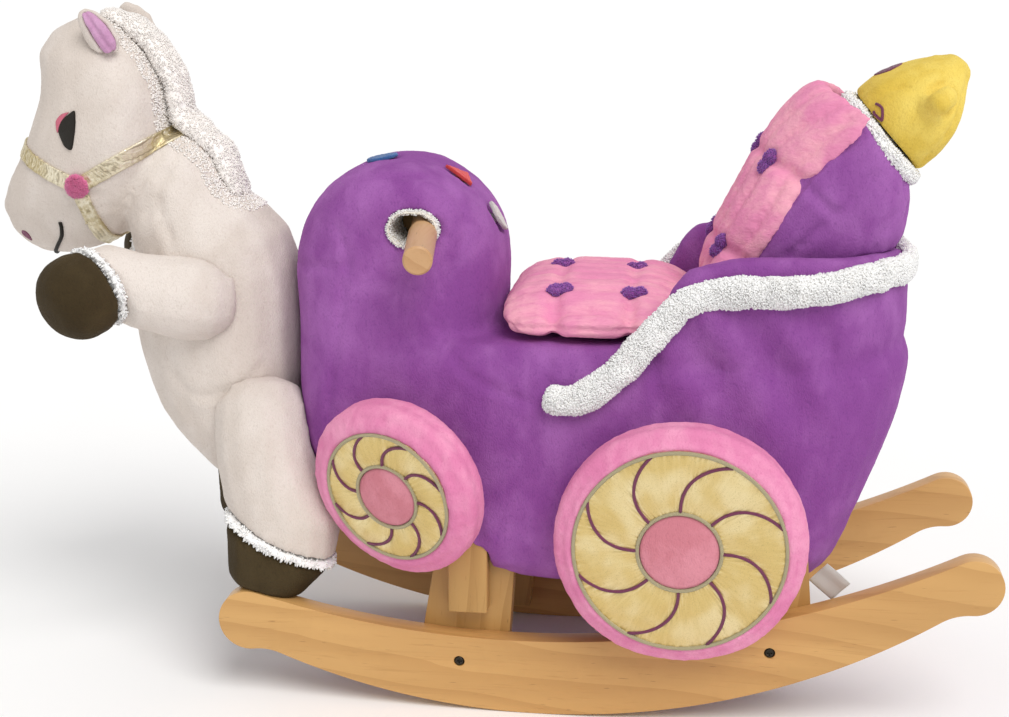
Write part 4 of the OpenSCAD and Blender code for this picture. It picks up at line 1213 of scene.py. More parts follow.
@dataclass
class SoundUnit:
    """The case with its speaker and cells, and the three song buttons over their switches."""

    voxel: float = 0.0008
    stitch_rise: float = 0.0004
    stitches: float = 380.0
    leaf_lift: float = 0.0012
    leaf_way: Point = (0.8, 0.0, 0.6)

    def build(self) -> None:
        """Dresses the hidden unit and embroiders the three buttons."""
        nodes = frame["nodes"]
        for node in ("sound_case", "battery_door"):
            dress(nodes[node], WHITE_CASE)
        for node in ("speaker", "button_switches"):
            dress(nodes[node], BLACK_CASE)
        dress(nodes["battery_cells"], CELL_WRAP)
        buttons = (
            ("circle", "blue_patch", BLUE_THREAD),
            ("triangle", "red_patch", RED_THREAD),
            ("leaf", "white_patch", WHITE_THREAD),
        )
        for shape, slot, finish in buttons:
            node = "song_button_" + shape
            pad = soft_form(shape + "_patch", [node], self.voxel, 3)
            if shape == "leaf":
                place(pad, vertices(pad) + self.leaf_lift * np.array(self.leaf_way))
            ruffle(pad, self.stitch_rise, self.stitches, 4.0)
            report(pad, finish, [node], "button_" + shape)


# ---------------------------------------------------------------- carriage


@dataclass(frozen=True)
class BackPad:
    """Shape of the back cushion, which wraps round the front of the backrest.

    Each station gives how far up the slope it lies, how far its middle and its edges stand out from the
    slope, and half its width, in millimetres.
    """

    slope: float = 28.95
    thick: float = 0.021
    rows: int = 72
    turns: int = 96
    stations: tuple[tuple[float, float, float, float], ...] = (
        (372, 17, 9, 47),
        (390, 22, 6, 56),
        (411, 26, 0, 56),
        (435, 28, -1, 62),
        (462, 29, -2, 62),
        (486, 29, -3, 55),
        (508, 29, -9, 60),
        (532, 25, -17, 64),
        (553, 19, -20, 62),
    )

    def ways(self) -> tuple[np.ndarray, np.ndarray]:
        """The directions up the slope and out of it."""
        a = math.radians(self.slope)
        return np.array((math.sin(a), 0.0, math.cos(a))), np.array((-math.cos(a), 0.0, math.sin(a)))

    def at(self, up: np.ndarray) -> tuple[np.ndarray, np.ndarray, np.ndarray]:
        """Middle, edge and half width at a height up the slope."""
        table = np.array(self.stations) * MM
        return tuple(np.interp(up, table[:, 0], table[:, k]) for k in (1, 2, 3))

    def front(self, up: np.ndarray, y: np.ndarray) -> np.ndarray:
        """How far the front stands out of the slope."""
        middle, edge, half = self.at(up)
        return middle + (edge - middle) * np.minimum(np.abs(y) / half, 1) ** 2.2

    def behind(self, points: np.ndarray) -> np.ndarray:
        """Keeps points inside or behind the cushion where it covers them."""
        along, out = self.ways()
        up, depth = points @ along, points @ out
        limit = self.front(up, points[:, 1]) - 0.55 * self.thick
        covered = smooth(up, 0.362, 0.376) * (1 - smooth(up, 0.549, 0.560))
        push = np.maximum(depth - limit, 0) * covered
        return points - push[:, None] * out

    def build(self, name: str) -> bpy.types.Object:
        """The closed cushion before it is quilted."""
        along, out = self.ways()
        rows, turns = self.rows, self.turns
        low, high = self.stations[0][0] * MM, self.stations[-1][0] * MM
        points = []
        for j in range(rows + 1):
            share = 2 * j / rows - 1
            up = low + (high - low) * (0.5 + 0.5 * math.sin(share * QUARTER))
            close = math.sqrt(max(1e-4, 1 - abs(math.sin(share * QUARTER)) ** 12))
            _, _, half = (float(v) for v in self.at(np.array(up)))
            half *= math.sqrt(max(0.6, 1 - abs(share) ** 30))
            for k in range(turns):
                angle = FULL * k / turns
                y = half * math.cos(angle)
                bulge = math.copysign(math.sqrt(max(0.0, 1 - abs(math.cos(angle)) ** 5)), math.sin(angle))
                depth = float(self.front(np.array(up), np.array(y))) - self.thick / 2 * (1 - close * bulge)
                points.append(up * along + depth * out + np.array((0.0, y, 0.0)))
        faces = wrapped(rows, turns)
        faces.append(tuple(range(turns - 1, -1, -1)))
        faces.append(tuple(rows * turns + k for k in range(turns)))
        return remade(outward(new_piece(name, points, faces)), 0.003, 3)


BACK_PAD = BackPad()


@dataclass
class Carriage:
    """The stuffed hull with its column and side wings, the backrest and the fur along its edge."""

    voxel: float = 0.0042
    passes: int = 14
    pile: float = 0.0019
    slim: float = 0.0021
    tuck: float = 0.010
    tuck_level: float = 0.155
    fold: float = 0.0034
    fold_level: float = 0.3
    hole: tuple[float, float] = (-0.0465, 0.3785)
    corner: Point = (0.322, 0.04, 0.402)
    band_shift: Point = (0.0034, 0.0, 0.0030)

    def hull_seams(self) -> list[tuple[Sequence[Point], Seam]]:
        """Sewn lines of the hull's near side, in millimetres."""
        fine = Seam(0.003, 0.0016, 0.35)
        column_rear = [
            (-72, -60, 417), (-45, -54, 418), (-22, -47, 408), (-10, -59, 387), (-9, -64, 374),
            (-20, -72, 345), (-27, -79, 311), (-23, -80, 297), (-15, -95, 288), (4, -102, 271),
            (47, -107, 255),
        ]
        column_front = [
            (-107, -73, 380), (-104, -75, 371), (-98, -76, 351), (-103, -77, 332), (-106, -81, 301),
            (-114, -84, 245), (-118, -90, 200),
        ]
        chest = [(-150, -40, 346), (-135, -61, 347), (-118, -71, 348), (-99, -76, 350)]
        waist = [(59, -91, 297), (59, -101, 284), (60, -109, 262), (61, -112, 240)]
        rear_edge = [
            (316, -72, 330), (316, -76, 297), (312, -80, 270), (306, -82, 239), (299, -82, 206),
            (292, -80, 174), (280, -78, 140), (266, -74, 116),
        ]
        seams = [(path, fine) for path in (column_rear, column_front, chest, waist)]
        return seams + [(rear_edge, Seam(0.004, 0.003, 0.3))]

    def drawn_in(self, points: np.ndarray) -> np.ndarray:
        """Draws the cloth round each hand hole in towards the peg, as its lining pulls it."""
        gap = points[:, [0, 2]] - np.array(self.hole)
        near = np.exp(-((np.linalg.norm(gap, axis=1) / 0.034) ** 4)) * (np.abs(points[:, 1]) > 0.02)
        out = points.copy()
        out[:, 0] -= near * (0.14 * gap[:, 0] + 0.0015)
        out[:, 2] -= near * (0.14 * gap[:, 1] - 0.0018)
        return out

    def hull(self) -> None:
        """The hull, column and wings as one smooth skin with its seams."""
        nodes = ["carriage_body", "side_wing_left", "side_wing_right"]
        skin = soft_form("carriage_skin", nodes, self.voxel, self.passes)
        points = self.drawn_in(vertices(skin))
        low_rear = np.exp(-(((points[:, 2] - self.tuck_level) / 0.05) ** 2)) * smooth(points[:, 0], 0.2, 0.29)
        points[:, 0] -= self.tuck * low_rear
        place(skin, points)
        for path, seam in self.hull_seams():
            sew_both(skin, path, seam)
        points = vertices(skin)
        gap = np.abs(points[:, 1]) + 0.05 * (points[:, 0] > -0.12)
        sew(skin, (gap, points[:, 2]), Seam(0.004, 0.0025))
        x, y, z = vertices(skin).T
        near = np.exp(-(((z - self.fold_level) / 0.05) ** 2)) * (x > 0.14) * (np.abs(y) > 0.09)
        push_out(skin, self.fold * near * np.sin((x * 0.9 + z * 0.5) * FULL / 0.045))
        upholster(skin, PURPLE, nodes, Rumple(0.0016, 13.0, 3.0, fine_seed=9.0))

    def backrest(self) -> None:
        """The backrest with its diagonal seam and folds."""
        piece = soft_form("backrest_skin", ["backrest"], 0.0036, 8)
        points = vertices(piece)
        x, y, z = points.T
        gap = np.linalg.norm(np.stack([x, np.abs(y), z], axis=1) - np.array(self.corner), axis=1)
        points += vertex_normals(piece) * (0.0045 * np.exp(-((gap / 0.028) ** 2)))[:, None]
        place(piece, BACK_PAD.behind(points))
        relax(piece, 3)
        rising = [(237, -63, 365), (258, -66, 386), (279, -66, 405), (296, -60, 427)]
        falling = [(242, -59, 422), (257, -65, 408), (268, -66, 398)]
        rear = [(321, -40, 425), (316, -47, 406), (306, -56, 389), (301, -57, 370), (300, -56, 340)]
        for line in (rising, falling, rear):
            sew_both(piece, line, Seam(0.003, 0.0024, 0.2))
        upholster(piece, PURPLE, ["backrest"], Rumple(0.0014, 15.0, 8.0, fine_seed=2.0))

    def linings(self) -> None:
        """Cream cloth inside the two hand holes, with its short fuzz."""
        for side in ("left", "right"):
            node = "handle_lining_" + side
            ring = soft_form(node + "_cloth", [node], 0.0012, 4)
            place(ring, self.drawn_in(vertices(ring)))
            ruffle(ring, 0.0006, 300.0, 5.0)
            report(ring, CREAM, [node])
            roots, out = sample(ring, 5200, 17)
            fuzz = grow_locks(node + "_fuzz", roots, out, Locks(0.0016, 0.0006, (0.0, 0.0, 0.0), 0.25), 17)
            report(fuzz, FUR)

    def fur(self) -> None:
        """Long white pile along the wings' edges and round the crown."""
        still = (0.0, 0.0, 0.0)
        jobs = (
            ("fur_trim_left", 15000, 11, self.slim, still),
            ("fur_trim_right", 15000, 12, self.slim, still),
            ("crown_band", 6500, 13, 0.2 * self.slim, self.band_shift),
        )
        locks = Locks(self.pile, 0.0013, (0.0, 0.0, -0.1), 0.5)
        for node, count, seed, slim, shift in jobs:
            core = soft_form(node + "_backing", [node], 0.003, 8)
            push_out(core, -slim)
            place(core, vertices(core) - np.array(shift))
            ruffle(core, 0.0022, 42.0, seed)
            roots, out = sample(core, count, seed)
            pile = grow_locks(node + "_pile", roots, out, locks, seed)
            note(core, "lock", np.full(len(core.data.vertices), 0.85))
            report(core, FUR, [node])
            report(pile, FUR)

    def tag(self) -> None:
        """A strip of bare woven tape, curled where it leaves its seam."""
        low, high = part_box("label_tag")
        middle = (low + high) / 2
        turn = Matrix.Identity(3)
        for degrees, axis in ((-6, "Z"), (40, "Y"), (12, "X")):
            turn = turn @ Matrix.Rotation(math.radians(degrees), 3, axis)
        columns, rows, thick, wide, tall = 24, 20, 0.00035, 0.0235, 0.0215
        points, faces = [], []
        for face in (-1, 1):
            for j in range(rows + 1):
                for i in range(columns + 1):
                    u, v = i / columns - 0.5, j / rows - 0.5
                    curl = 0.0006 * math.sin(3 * u + 2 * v) + 0.0005 * math.cos(9 * v)
                    points.append(middle + turn @ Vector((wide * u, curl + face * thick, tall * v)))
        step, half = columns + 1, (columns + 1) * (rows + 1)
        for j in range(rows):
            for i in range(columns):
                a = j * step + i
                faces.append((a, a + 1, a + step + 1, a + step))
                faces.append((half + a, half + a + step, half + a + step + 1, half + a + 1))
        rim = list(range(step)) + [j * step + columns for j in range(1, rows + 1)]
        rim += [rows * step + i for i in range(columns - 1, -1, -1)]
        rim += [j * step for j in range(rows - 1, 0, -1)]
        for a, b in zip(rim, rim[1:] + rim[:1]):
            faces.append((a, half + a, half + b, b))
        tape = new_piece("bare_tape", points, faces)
        report(tape, TAPE, ["label_tag"])

    def build(self) -> None:
        """Builds the whole carriage."""
        self.hull()
        self.backrest()
        self.linings()
        self.fur()
        self.tag()


@dataclass
class Cushions:
    """The quilted seat and back cushions with their purple tufts."""

    seat_ribs: tuple[float, ...] = (-0.082, -0.058, -0.034, -0.012, 0.010, 0.034, 0.058, 0.082)
    back_ribs: tuple[float, ...] = (-0.72, -0.42, -0.14, 0.14, 0.42, 0.72)
    seat_cross: tuple[float, ...] = (0.061, 0.119)
    back_cross: tuple[float, ...] = (0.411, 0.486)
    seat_tufts: tuple[tuple[float, float], ...] = (
        (0.058, 0.026), (0.064, -0.058), (0.118, 0.026), (0.121, -0.058)
    )
    back_tufts: tuple[tuple[float, float], ...] = (
        (0.486, 0.022), (0.483, -0.034), (0.412, 0.022), (0.409, -0.034)
    )
    channel: float = 0.0026
    cross_channel: float = 0.0040
    pinned: float = 0.0012
    pressure: float = 4.0
    most: float = 0.006
    bar: Point = (0.0100, 0.0054, 0.0052)
    bar_rise: float = 0.0030

    def quilted(self, pad: bpy.types.Object, gaps: list[np.ndarray], crosses: list[np.ndarray]) -> None:
        """Blows a cushion up between its sewn channels, and sews them.

        Args:
            pad: The cushion.
            gaps: Distance of each vertex from each lengthways channel.
            crosses: Distance of each vertex from each crosswise channel.
        """
        points = vertices(pad)
        held = np.zeros(len(points))
        for gap in gaps:
            held = np.maximum(held, np.exp(-((gap / self.channel) ** 2)))
        for gap in crosses:
            held = np.maximum(held, np.exp(-((gap / self.cross_channel) ** 2)))
        push_out(pad, -self.pinned * held)
        inflate(pad, self.pressure, self.most, np.where(held > 0.3, held, 0))
        run = points[:, 0] + points[:, 2]
        for gap in gaps:
            sew(pad, (gap, run), Seam(0.0022, 0.0011, 0.4, 0.011))
        for gap in crosses:
            sew(pad, (gap, points[:, 1]), Seam(self.cross_channel, 0.0020, 0.3, 0.013))

    def finish(self, pad: bpy.types.Object, node: str) -> None:
        """Gives a cushion its fine surface and reports it."""
        subdivided(pad)
        ruffle(pad, 0.0007, 45.0, 6.0)
        ruffle(pad, 0.00018, FINE_LUMPS, 7.0)
        report(pad, PINK_SEAT, [node])

    def seat(self) -> bpy.types.Object:
        """The seat cushion, sloped off at its sides and drawn in at its cross seams."""
        pad = soft_form("seat_quilt", ["seat_cushion"], 0.0036, 6)
        points = vertices(pad)
        low, high = points[:, 2].min(), points[:, 2].max()
        share = (points[:, 2] - low) / (high - low)
        points[:, 2] -= 0.015 * smooth(np.abs(points[:, 1]), 0.050, 0.092) * share
        for x in self.seat_cross:
            drawn = np.exp(-(((points[:, 0] - x) / 0.009) ** 2)) * smooth(np.abs(points[:, 1]), 0.05, 0.09)
            points[:, 1] *= 1 - 0.05 * drawn
            points[:, 2] -= 0.0025 * drawn * share
        place(pad, points)
        level = vertices(pad)
        border = np.abs(level[:, 2] - (low + 0.012)) + 0.05 * (np.abs(level[:, 1]) < 0.07)
        ribs = [np.abs(level[:, 1] - rib) for rib in self.seat_ribs]
        self.quilted(pad, ribs + [border], [np.abs(level[:, 0] - x) for x in self.seat_cross])
        self.finish(pad, "seat_cushion")
        return pad

    def back(self) -> bpy.types.Object:
        """The back cushion, whose channels fan out towards its top."""
        pad = BACK_PAD.build("back_quilt")
        points = vertices(pad)
        along, _ = BACK_PAD.ways()
        up = points @ along
        _, _, half = BACK_PAD.at(up)
        fan = half * (0.82 + 0.22 * smooth(up, 0.486, 0.553))
        border = np.abs(np.abs(points[:, 1]) - (half - 0.007))
        ribs = [np.abs(points[:, 1] - rib * fan) for rib in self.back_ribs]
        self.quilted(pad, ribs + [border], [np.abs(up - cross) for cross in self.back_cross])
        self.finish(pad, "back_cushion")
        return pad

    def tufts(self, node: str, surface: BVHTree, spots: Sequence[Vector], out: Vector, seed: int) -> None:
        """Puffy purple bars, drawn in at their middle, with a short fuzz.

        Args:
            node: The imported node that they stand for.
            surface: The cushion that they are sewn to.
            spots: Where they lie, near the surface.
            out: The way that the cushion faces.
            seed: Seed of their fuzz.
        """
        parts = []
        for n, spot in enumerate(spots):
            where, _, _, _ = surface.ray_cast(spot + out * 0.05, -out)
            where = where or spot
            along = Vector((0.86, 0.0, 0.5)) if abs(out.z) < 0.8 else Vector((0.96, 0.28, 0.0))
            along = (along - out * along.dot(out)).normalized()
            side = out.cross(along)
            bm = bmesh.new()
            bmesh.ops.create_icosphere(bm, subdivisions=4, radius=1.0)
            for v in bm.verts:
                waist = 1 - 0.34 * math.exp(-((v.co.x / 0.22) ** 2))
                x, y, z = v.co.x * self.bar[0], v.co.y * self.bar[1] * waist, v.co.z * self.bar[2] * waist
                v.co = where + along * x + side * y + out * (z + self.bar_rise)
            parts.append(from_bmesh(f"bar_{n}", bm))
        bar = joined(node + "_bars", parts)
        ruffle(bar, 0.0005, 160.0, seed)
        roots, ways = sample(bar, 2600, seed)
        fuzz = grow_locks(node + "_fuzz", roots, ways, Locks(0.0014, 0.0005, (0.0, 0.0, 0.0), 0.3), seed)
        report(bar, PURPLE, [node])
        report(fuzz, PURPLE_FUR)

    def build(self) -> None:
        """Builds both cushions and their tufts."""
        seat = tree_of(self.seat())
        spots = [Vector((x, y, 0.335)) for x, y in self.seat_tufts]
        self.tufts("seat_tufts", seat, spots, Vector((0, 0, 1)), 21)
        back = tree_of(self.back())
        along, out = BACK_PAD.ways()
        spots = []
        for up, y in self.back_tufts:
            front = float(BACK_PAD.front(np.array(up), np.array(y)))
            spots.append(Vector(up * along + front * out) + Vector((0, y, 0)))
        self.tufts("back_tufts", back, spots, Vector(out), 22)


@dataclass
class Crown:
    """The soft yellow crown with two knobs and its stitched scrolls."""

    knob: Point = (0.3455, 0.045, 0.482)
    knob_swell: float = 0.0095
    knob_seam: float = 0.0118
    top: Point = (0.344, 0.0, 0.494)
    top_swell: float = 0.0165
    foot: Point = (0.305, 0.0, 0.443)
    axis: Point = (0.755, 0.0, 0.656)
    stretch: float = 0.006

    def plush(self) -> bpy.types.Object:
        """The stuffed crown, stretched at its foot and sewn round its knobs and along its edges."""
        x, y, z = self.knob
        knobs = [Vector((x, -y, z)), Vector((x, y, z))]
        balls = [(knob, self.knob_swell) for knob in knobs] + [(Vector(self.top), self.top_swell)]
        piece = soft_form("crown_plush", ["crown"], 0.0026, 4, balls)
        points = vertices(piece)
        level = (points - np.array(self.foot)) @ np.array(self.axis)
        low = 1 - smooth(level, -0.002, 0.028)
        place(piece, points - (self.stretch * low)[:, None] * np.array(self.axis))
        for knob in knobs:
            gap = np.linalg.norm(vertices(piece) - np.array(knob), axis=1)
            sew(piece, (np.abs(gap - self.knob_seam), gap), Seam(0.0022, 0.0026, 0.1))
        ridge = [(295, 30, 470), (313, 39, 489), (337, 45, 489), (362, 12, 500)]
        edge = [(323, 19, 416), (342, 33, 442), (357, 32, 472), (366, 14, 497)]
        sew_both(piece, ridge, Seam(0.003, 0.002, 0.3))
        sew_both(piece, edge, Seam(0.003, 0.0018, 0.3))
        upholster(piece, YELLOW, ["crown"], Rumple(0.0014, 20.0, 5.0, fine_seed=5.0))
        return piece

    def build(self) -> None:
        """Builds the crown and its embroidery."""
        surface = tree_of(self.plush())
        scroll = [
            (289, 45, 471), (291, 49, 466), (295, 50, 465), (300, 46, 467), (301, 42, 474), (297, 38, 476)
        ]
        for side in (1, -1):
            path = smooth_path(metres([(x, side * y, z) for x, y, z in scroll]))
            thread = tube("crown_scroll_" + word(side), laid_on(surface, path, 0.0004), 0.0011)
            report(thread, MAROON)
        crest = [(298, 8, 492), (304, 6, 496), (311, 1, 499), (318, 4, 502), (313, -9, 500), (305, -11, 497)]
        report(patch_on("crown_crest", surface, metres(crest), 0.0008), MAROON)


# ---------------------------------------------------------------- wheels


@dataclass(frozen=True)
class WheelPlace:
    """Where a sewn wheel sits, which way it faces and its sizes."""

    name: str
    at: Point
    turn: float
    lean: float
    outer: float
    face: float
    hub: float
    thick: float = 0.036

    def matrix(self, side: int) -> Matrix:
        """From the wheel's own axes, +Z outwards, to the toy's.

        Args:
            side: -1 for the near side, 1 for the far side.

        Returns:
            The placing matrix, mirrored on the far side.
        """
        turned = Matrix.Rotation(math.radians(-self.turn), 4, "Z")
        tipped = Matrix.Rotation(math.radians(90 + self.lean), 4, "X")
        placed = Matrix.Translation(self.at) @ (turned @ tipped)
        return Matrix.Diagonal((1, -1, 1, 1)) @ placed if side > 0 else placed


@dataclass
class Wheels:
    """Four stuffed wheels: plush tyres, gold cloth faces with curved spokes, corded edges and plush hubs."""

    spokes: int = 8
    sweep: float = 0.5
    puff: float = 0.0026
    gathered: float = 0.0036
    thread: float = 0.0013
    stitch: float = 0.0016
    cord: float = 0.0015
    twist: float = 0.0028
    places: tuple[WheelPlace, ...] = (
        WheelPlace("front", (-0.053, -0.1165, 0.188), 22, 12, 0.144, 0.108, 0.050),
        WheelPlace("rear", (0.163, -0.131, 0.158), 0, 4, 0.190, 0.160, 0.060),
    )

    def set_in(self, piece: bpy.types.Object, matrix: Matrix) -> bpy.types.Object:
        """Moves a mesh from the wheel's axes to the toy's, and keeps its faces outwards."""
        piece.data.transform(matrix)
        if matrix.determinant() < 0:
            piece.data.flip_normals()
        piece.data.update()
        return piece

    def swept(self, share: float) -> float:
        """How far round a spoke has swept at a share of the way from hub to rim."""
        return self.sweep * share**2.1

    def face(self, spot: WheelPlace, side: int) -> bpy.types.Object:
        """The gold cloth ring, puffed between its spokes and gathered at both edges."""
        inner, outer = spot.hub / 2, spot.face / 2
        rings, turns = 30, 224
        points, faces, weave, gathers = [], [], [], []
        level = spot.thick / 2 - 0.001
        for j in range(rings + 1):
            share = j / rings
            r = inner + (outer - inner) * share
            for k in range(turns):
                a = FULL * k / turns
                phase = ((a + self.swept(share)) * self.spokes / FULL) % 1
                swell = math.sin(math.pi * phase) ** 0.55 * math.sin(math.pi * share) ** 0.6
                gather = math.sin(a * 61 + 3 * math.sin(5 * a)) * max(0.0, abs(share - 0.5) * 2 - 0.72) / 0.28
                small = noise.noise(Vector(polar(r * 120, a, side + spot.outer * 50)))
                points.append(polar(r, a, level + self.puff * swell + 0.0005 * gather + 0.00045 * small))
                weave.append((a * outer, r, spot.outer + 0.3 * side))
                seam = min(min(phase, 1 - phase) * FULL * r / self.spokes, r - inner, outer - r)
                gathers.append(math.exp(-((seam / self.gathered) ** 2)))
        for j in range(rings + 1):
            r = inner + (outer - inner) * j / rings
            points.extend(polar(r, FULL * k / turns, level - 0.0015) for k in range(turns))
        half = (rings + 1) * turns
        for a, b, c, d in wrapped(rings, turns):
            faces.append((a, d, c, b))
            faces.append((half + a, half + b, half + c, half + d))
        for k in range(turns):
            m = (k + 1) % turns
            faces.append((k, m, half + m, half + k))
            last = rings * turns
            faces.append((last + m, last + k, half + last + k, half + last + m))
        piece = new_piece(f"gold_face_{spot.name}_{word(side)}", points, faces)
        note(piece, "weave", np.array(weave + weave))
        # How strongly the foil's painted crinkle highlights and painted crease shade show, most beside the
        # seams.
        note(piece, "gather", np.array(gathers + gathers))
        return self.set_in(piece, spot.matrix(side))

    def spoke_threads(self, spot: WheelPlace, side: int) -> bpy.types.Object:
        """The curved satin-stitched spokes of one face."""
        inner, outer = spot.hub / 2 + 0.002, spot.face / 2 - 0.002
        parts = []
        for n in range(self.spokes):
            path = []
            for i in range(26):
                share = i / 25
                angle = FULL * n / self.spokes - self.swept(share)
                path.append(polar(inner + (outer - inner) * share, angle, spot.thick / 2 - 0.0002))
            part = tube("spoke", path, self.thread)
            points = vertices(part)
            points[:, 2] += 0.00016 * np.sin(np.linalg.norm(points[:, :2], axis=1) * FULL / self.stitch)
            place(part, points)
            parts.append(part)
        return self.set_in(joined(f"spoke_threads_{spot.name}_{word(side)}", parts), spot.matrix(side))

    def cords(self, spot: WheelPlace, side: int) -> bpy.types.Object:
        """The twisted cords round the face and round the hub."""
        parts = []
        for radius in (spot.face / 2 - 0.0012, spot.hub / 2 + 0.0012):
            path = [polar(radius, FULL * k / 360, spot.thick / 2) for k in range(360)]
            ring = tube("ring", path, self.cord, closed=True)
            points = vertices(ring)
            angle = np.arctan2(points[:, 1], points[:, 0])
            height = points[:, 2] - spot.thick / 2
            twist = 1 + 0.14 * np.sin(angle * radius * FULL / self.twist + height * 900)
            points[:, 2] = spot.thick / 2 + height * twist
            place(ring, points)
            parts.append(ring)
        return self.set_in(joined(f"edge_cords_{spot.name}_{word(side)}", parts), spot.matrix(side))

    def hub(self, spot: WheelPlace, side: int) -> bpy.types.Object:
        """The domed plush disc in the middle."""
        radius = spot.hub / 2 - 0.0006
        rings, turns = 14, 72
        points = [(0.0, 0.0, spot.thick / 2 + self.puff)]
        for j in range(1, rings + 1):
            share = j / rings
            for k in range(turns):
                a = FULL * k / turns
                small = noise.noise(Vector(polar(radius * share * FINE_LUMPS, a, 3)))
                z = spot.thick / 2 + self.puff * (1 - share**2.4) + 0.0003 * small
                points.append(polar(radius * share, a, z))
        faces = [(0, 1 + k, 1 + (k + 1) % turns) for k in range(turns)]
        faces += [(1 + a, 1 + d, 1 + c, 1 + b) for a, b, c, d in wrapped(rings - 1, turns)]
        rim = 1 + (rings - 1) * turns
        low = len(points)
        points.extend((x, y, spot.thick / 2 - 0.0035) for x, y, _ in points[rim : rim + turns])
        for k in range(turns):
            m = (k + 1) % turns
            faces.append((rim + k, low + k, low + m, rim + m))
        faces.append(tuple(low + k for k in range(turns - 1, -1, -1)))
        return self.set_in(new_piece(f"hub_plush_{spot.name}_{word(side)}", points, faces), spot.matrix(side))

    def tyre(self, spot: WheelPlace, side: int) -> None:
        """The stuffed tyre with the seams on both sides of its tread."""
        node = f"wheel_{spot.name}_{word(side)}"
        piece = soft_form(node + "_plush", [node], 0.0032, 6)
        inverse = np.array(spot.matrix(side).inverted())
        local = vertices(piece) @ inverse[:3, :3].T + inverse[:3, 3]
        radius = np.linalg.norm(local[:, :2], axis=1)
        angle = np.arctan2(local[:, 1], local[:, 0])
        for line, level in ((spot.outer / 2 - 0.008, spot.thick / 2 - 0.004), (spot.outer / 2 - 0.002, 0.0)):
            gap = np.hypot(radius - line, local[:, 2] - level)
            sew(piece, (gap, angle * line), Seam(0.003, 0.0018, 0.4, 0.012))
        upholster(piece, PINK, [node], Rumple(0.0012, 19.0, 7.0 + side, fine_seed=7.0))

    def build(self) -> None:
        """Builds all four wheels. The far rear hub and face stand for the shared nodes."""
        for spot in self.places:
            for side in (-1, 1):
                self.tyre(spot, side)
                first = side < 0 and spot.name == "rear"
                report(self.face(spot, side), GOLD, ["wheel_faces"] if first else [])
                report(self.spoke_threads(spot, side), MAROON)
                report(self.cords(spot, side), CORD)
                report(self.hub(spot, side), HUB_PINK, ["wheel_hubs"] if first else [])


def word(side: int) -> str:
    """Name of a side of the toy."""
    return "left" if side < 0 else "right"


# ---------------------------------------------------------------- horse


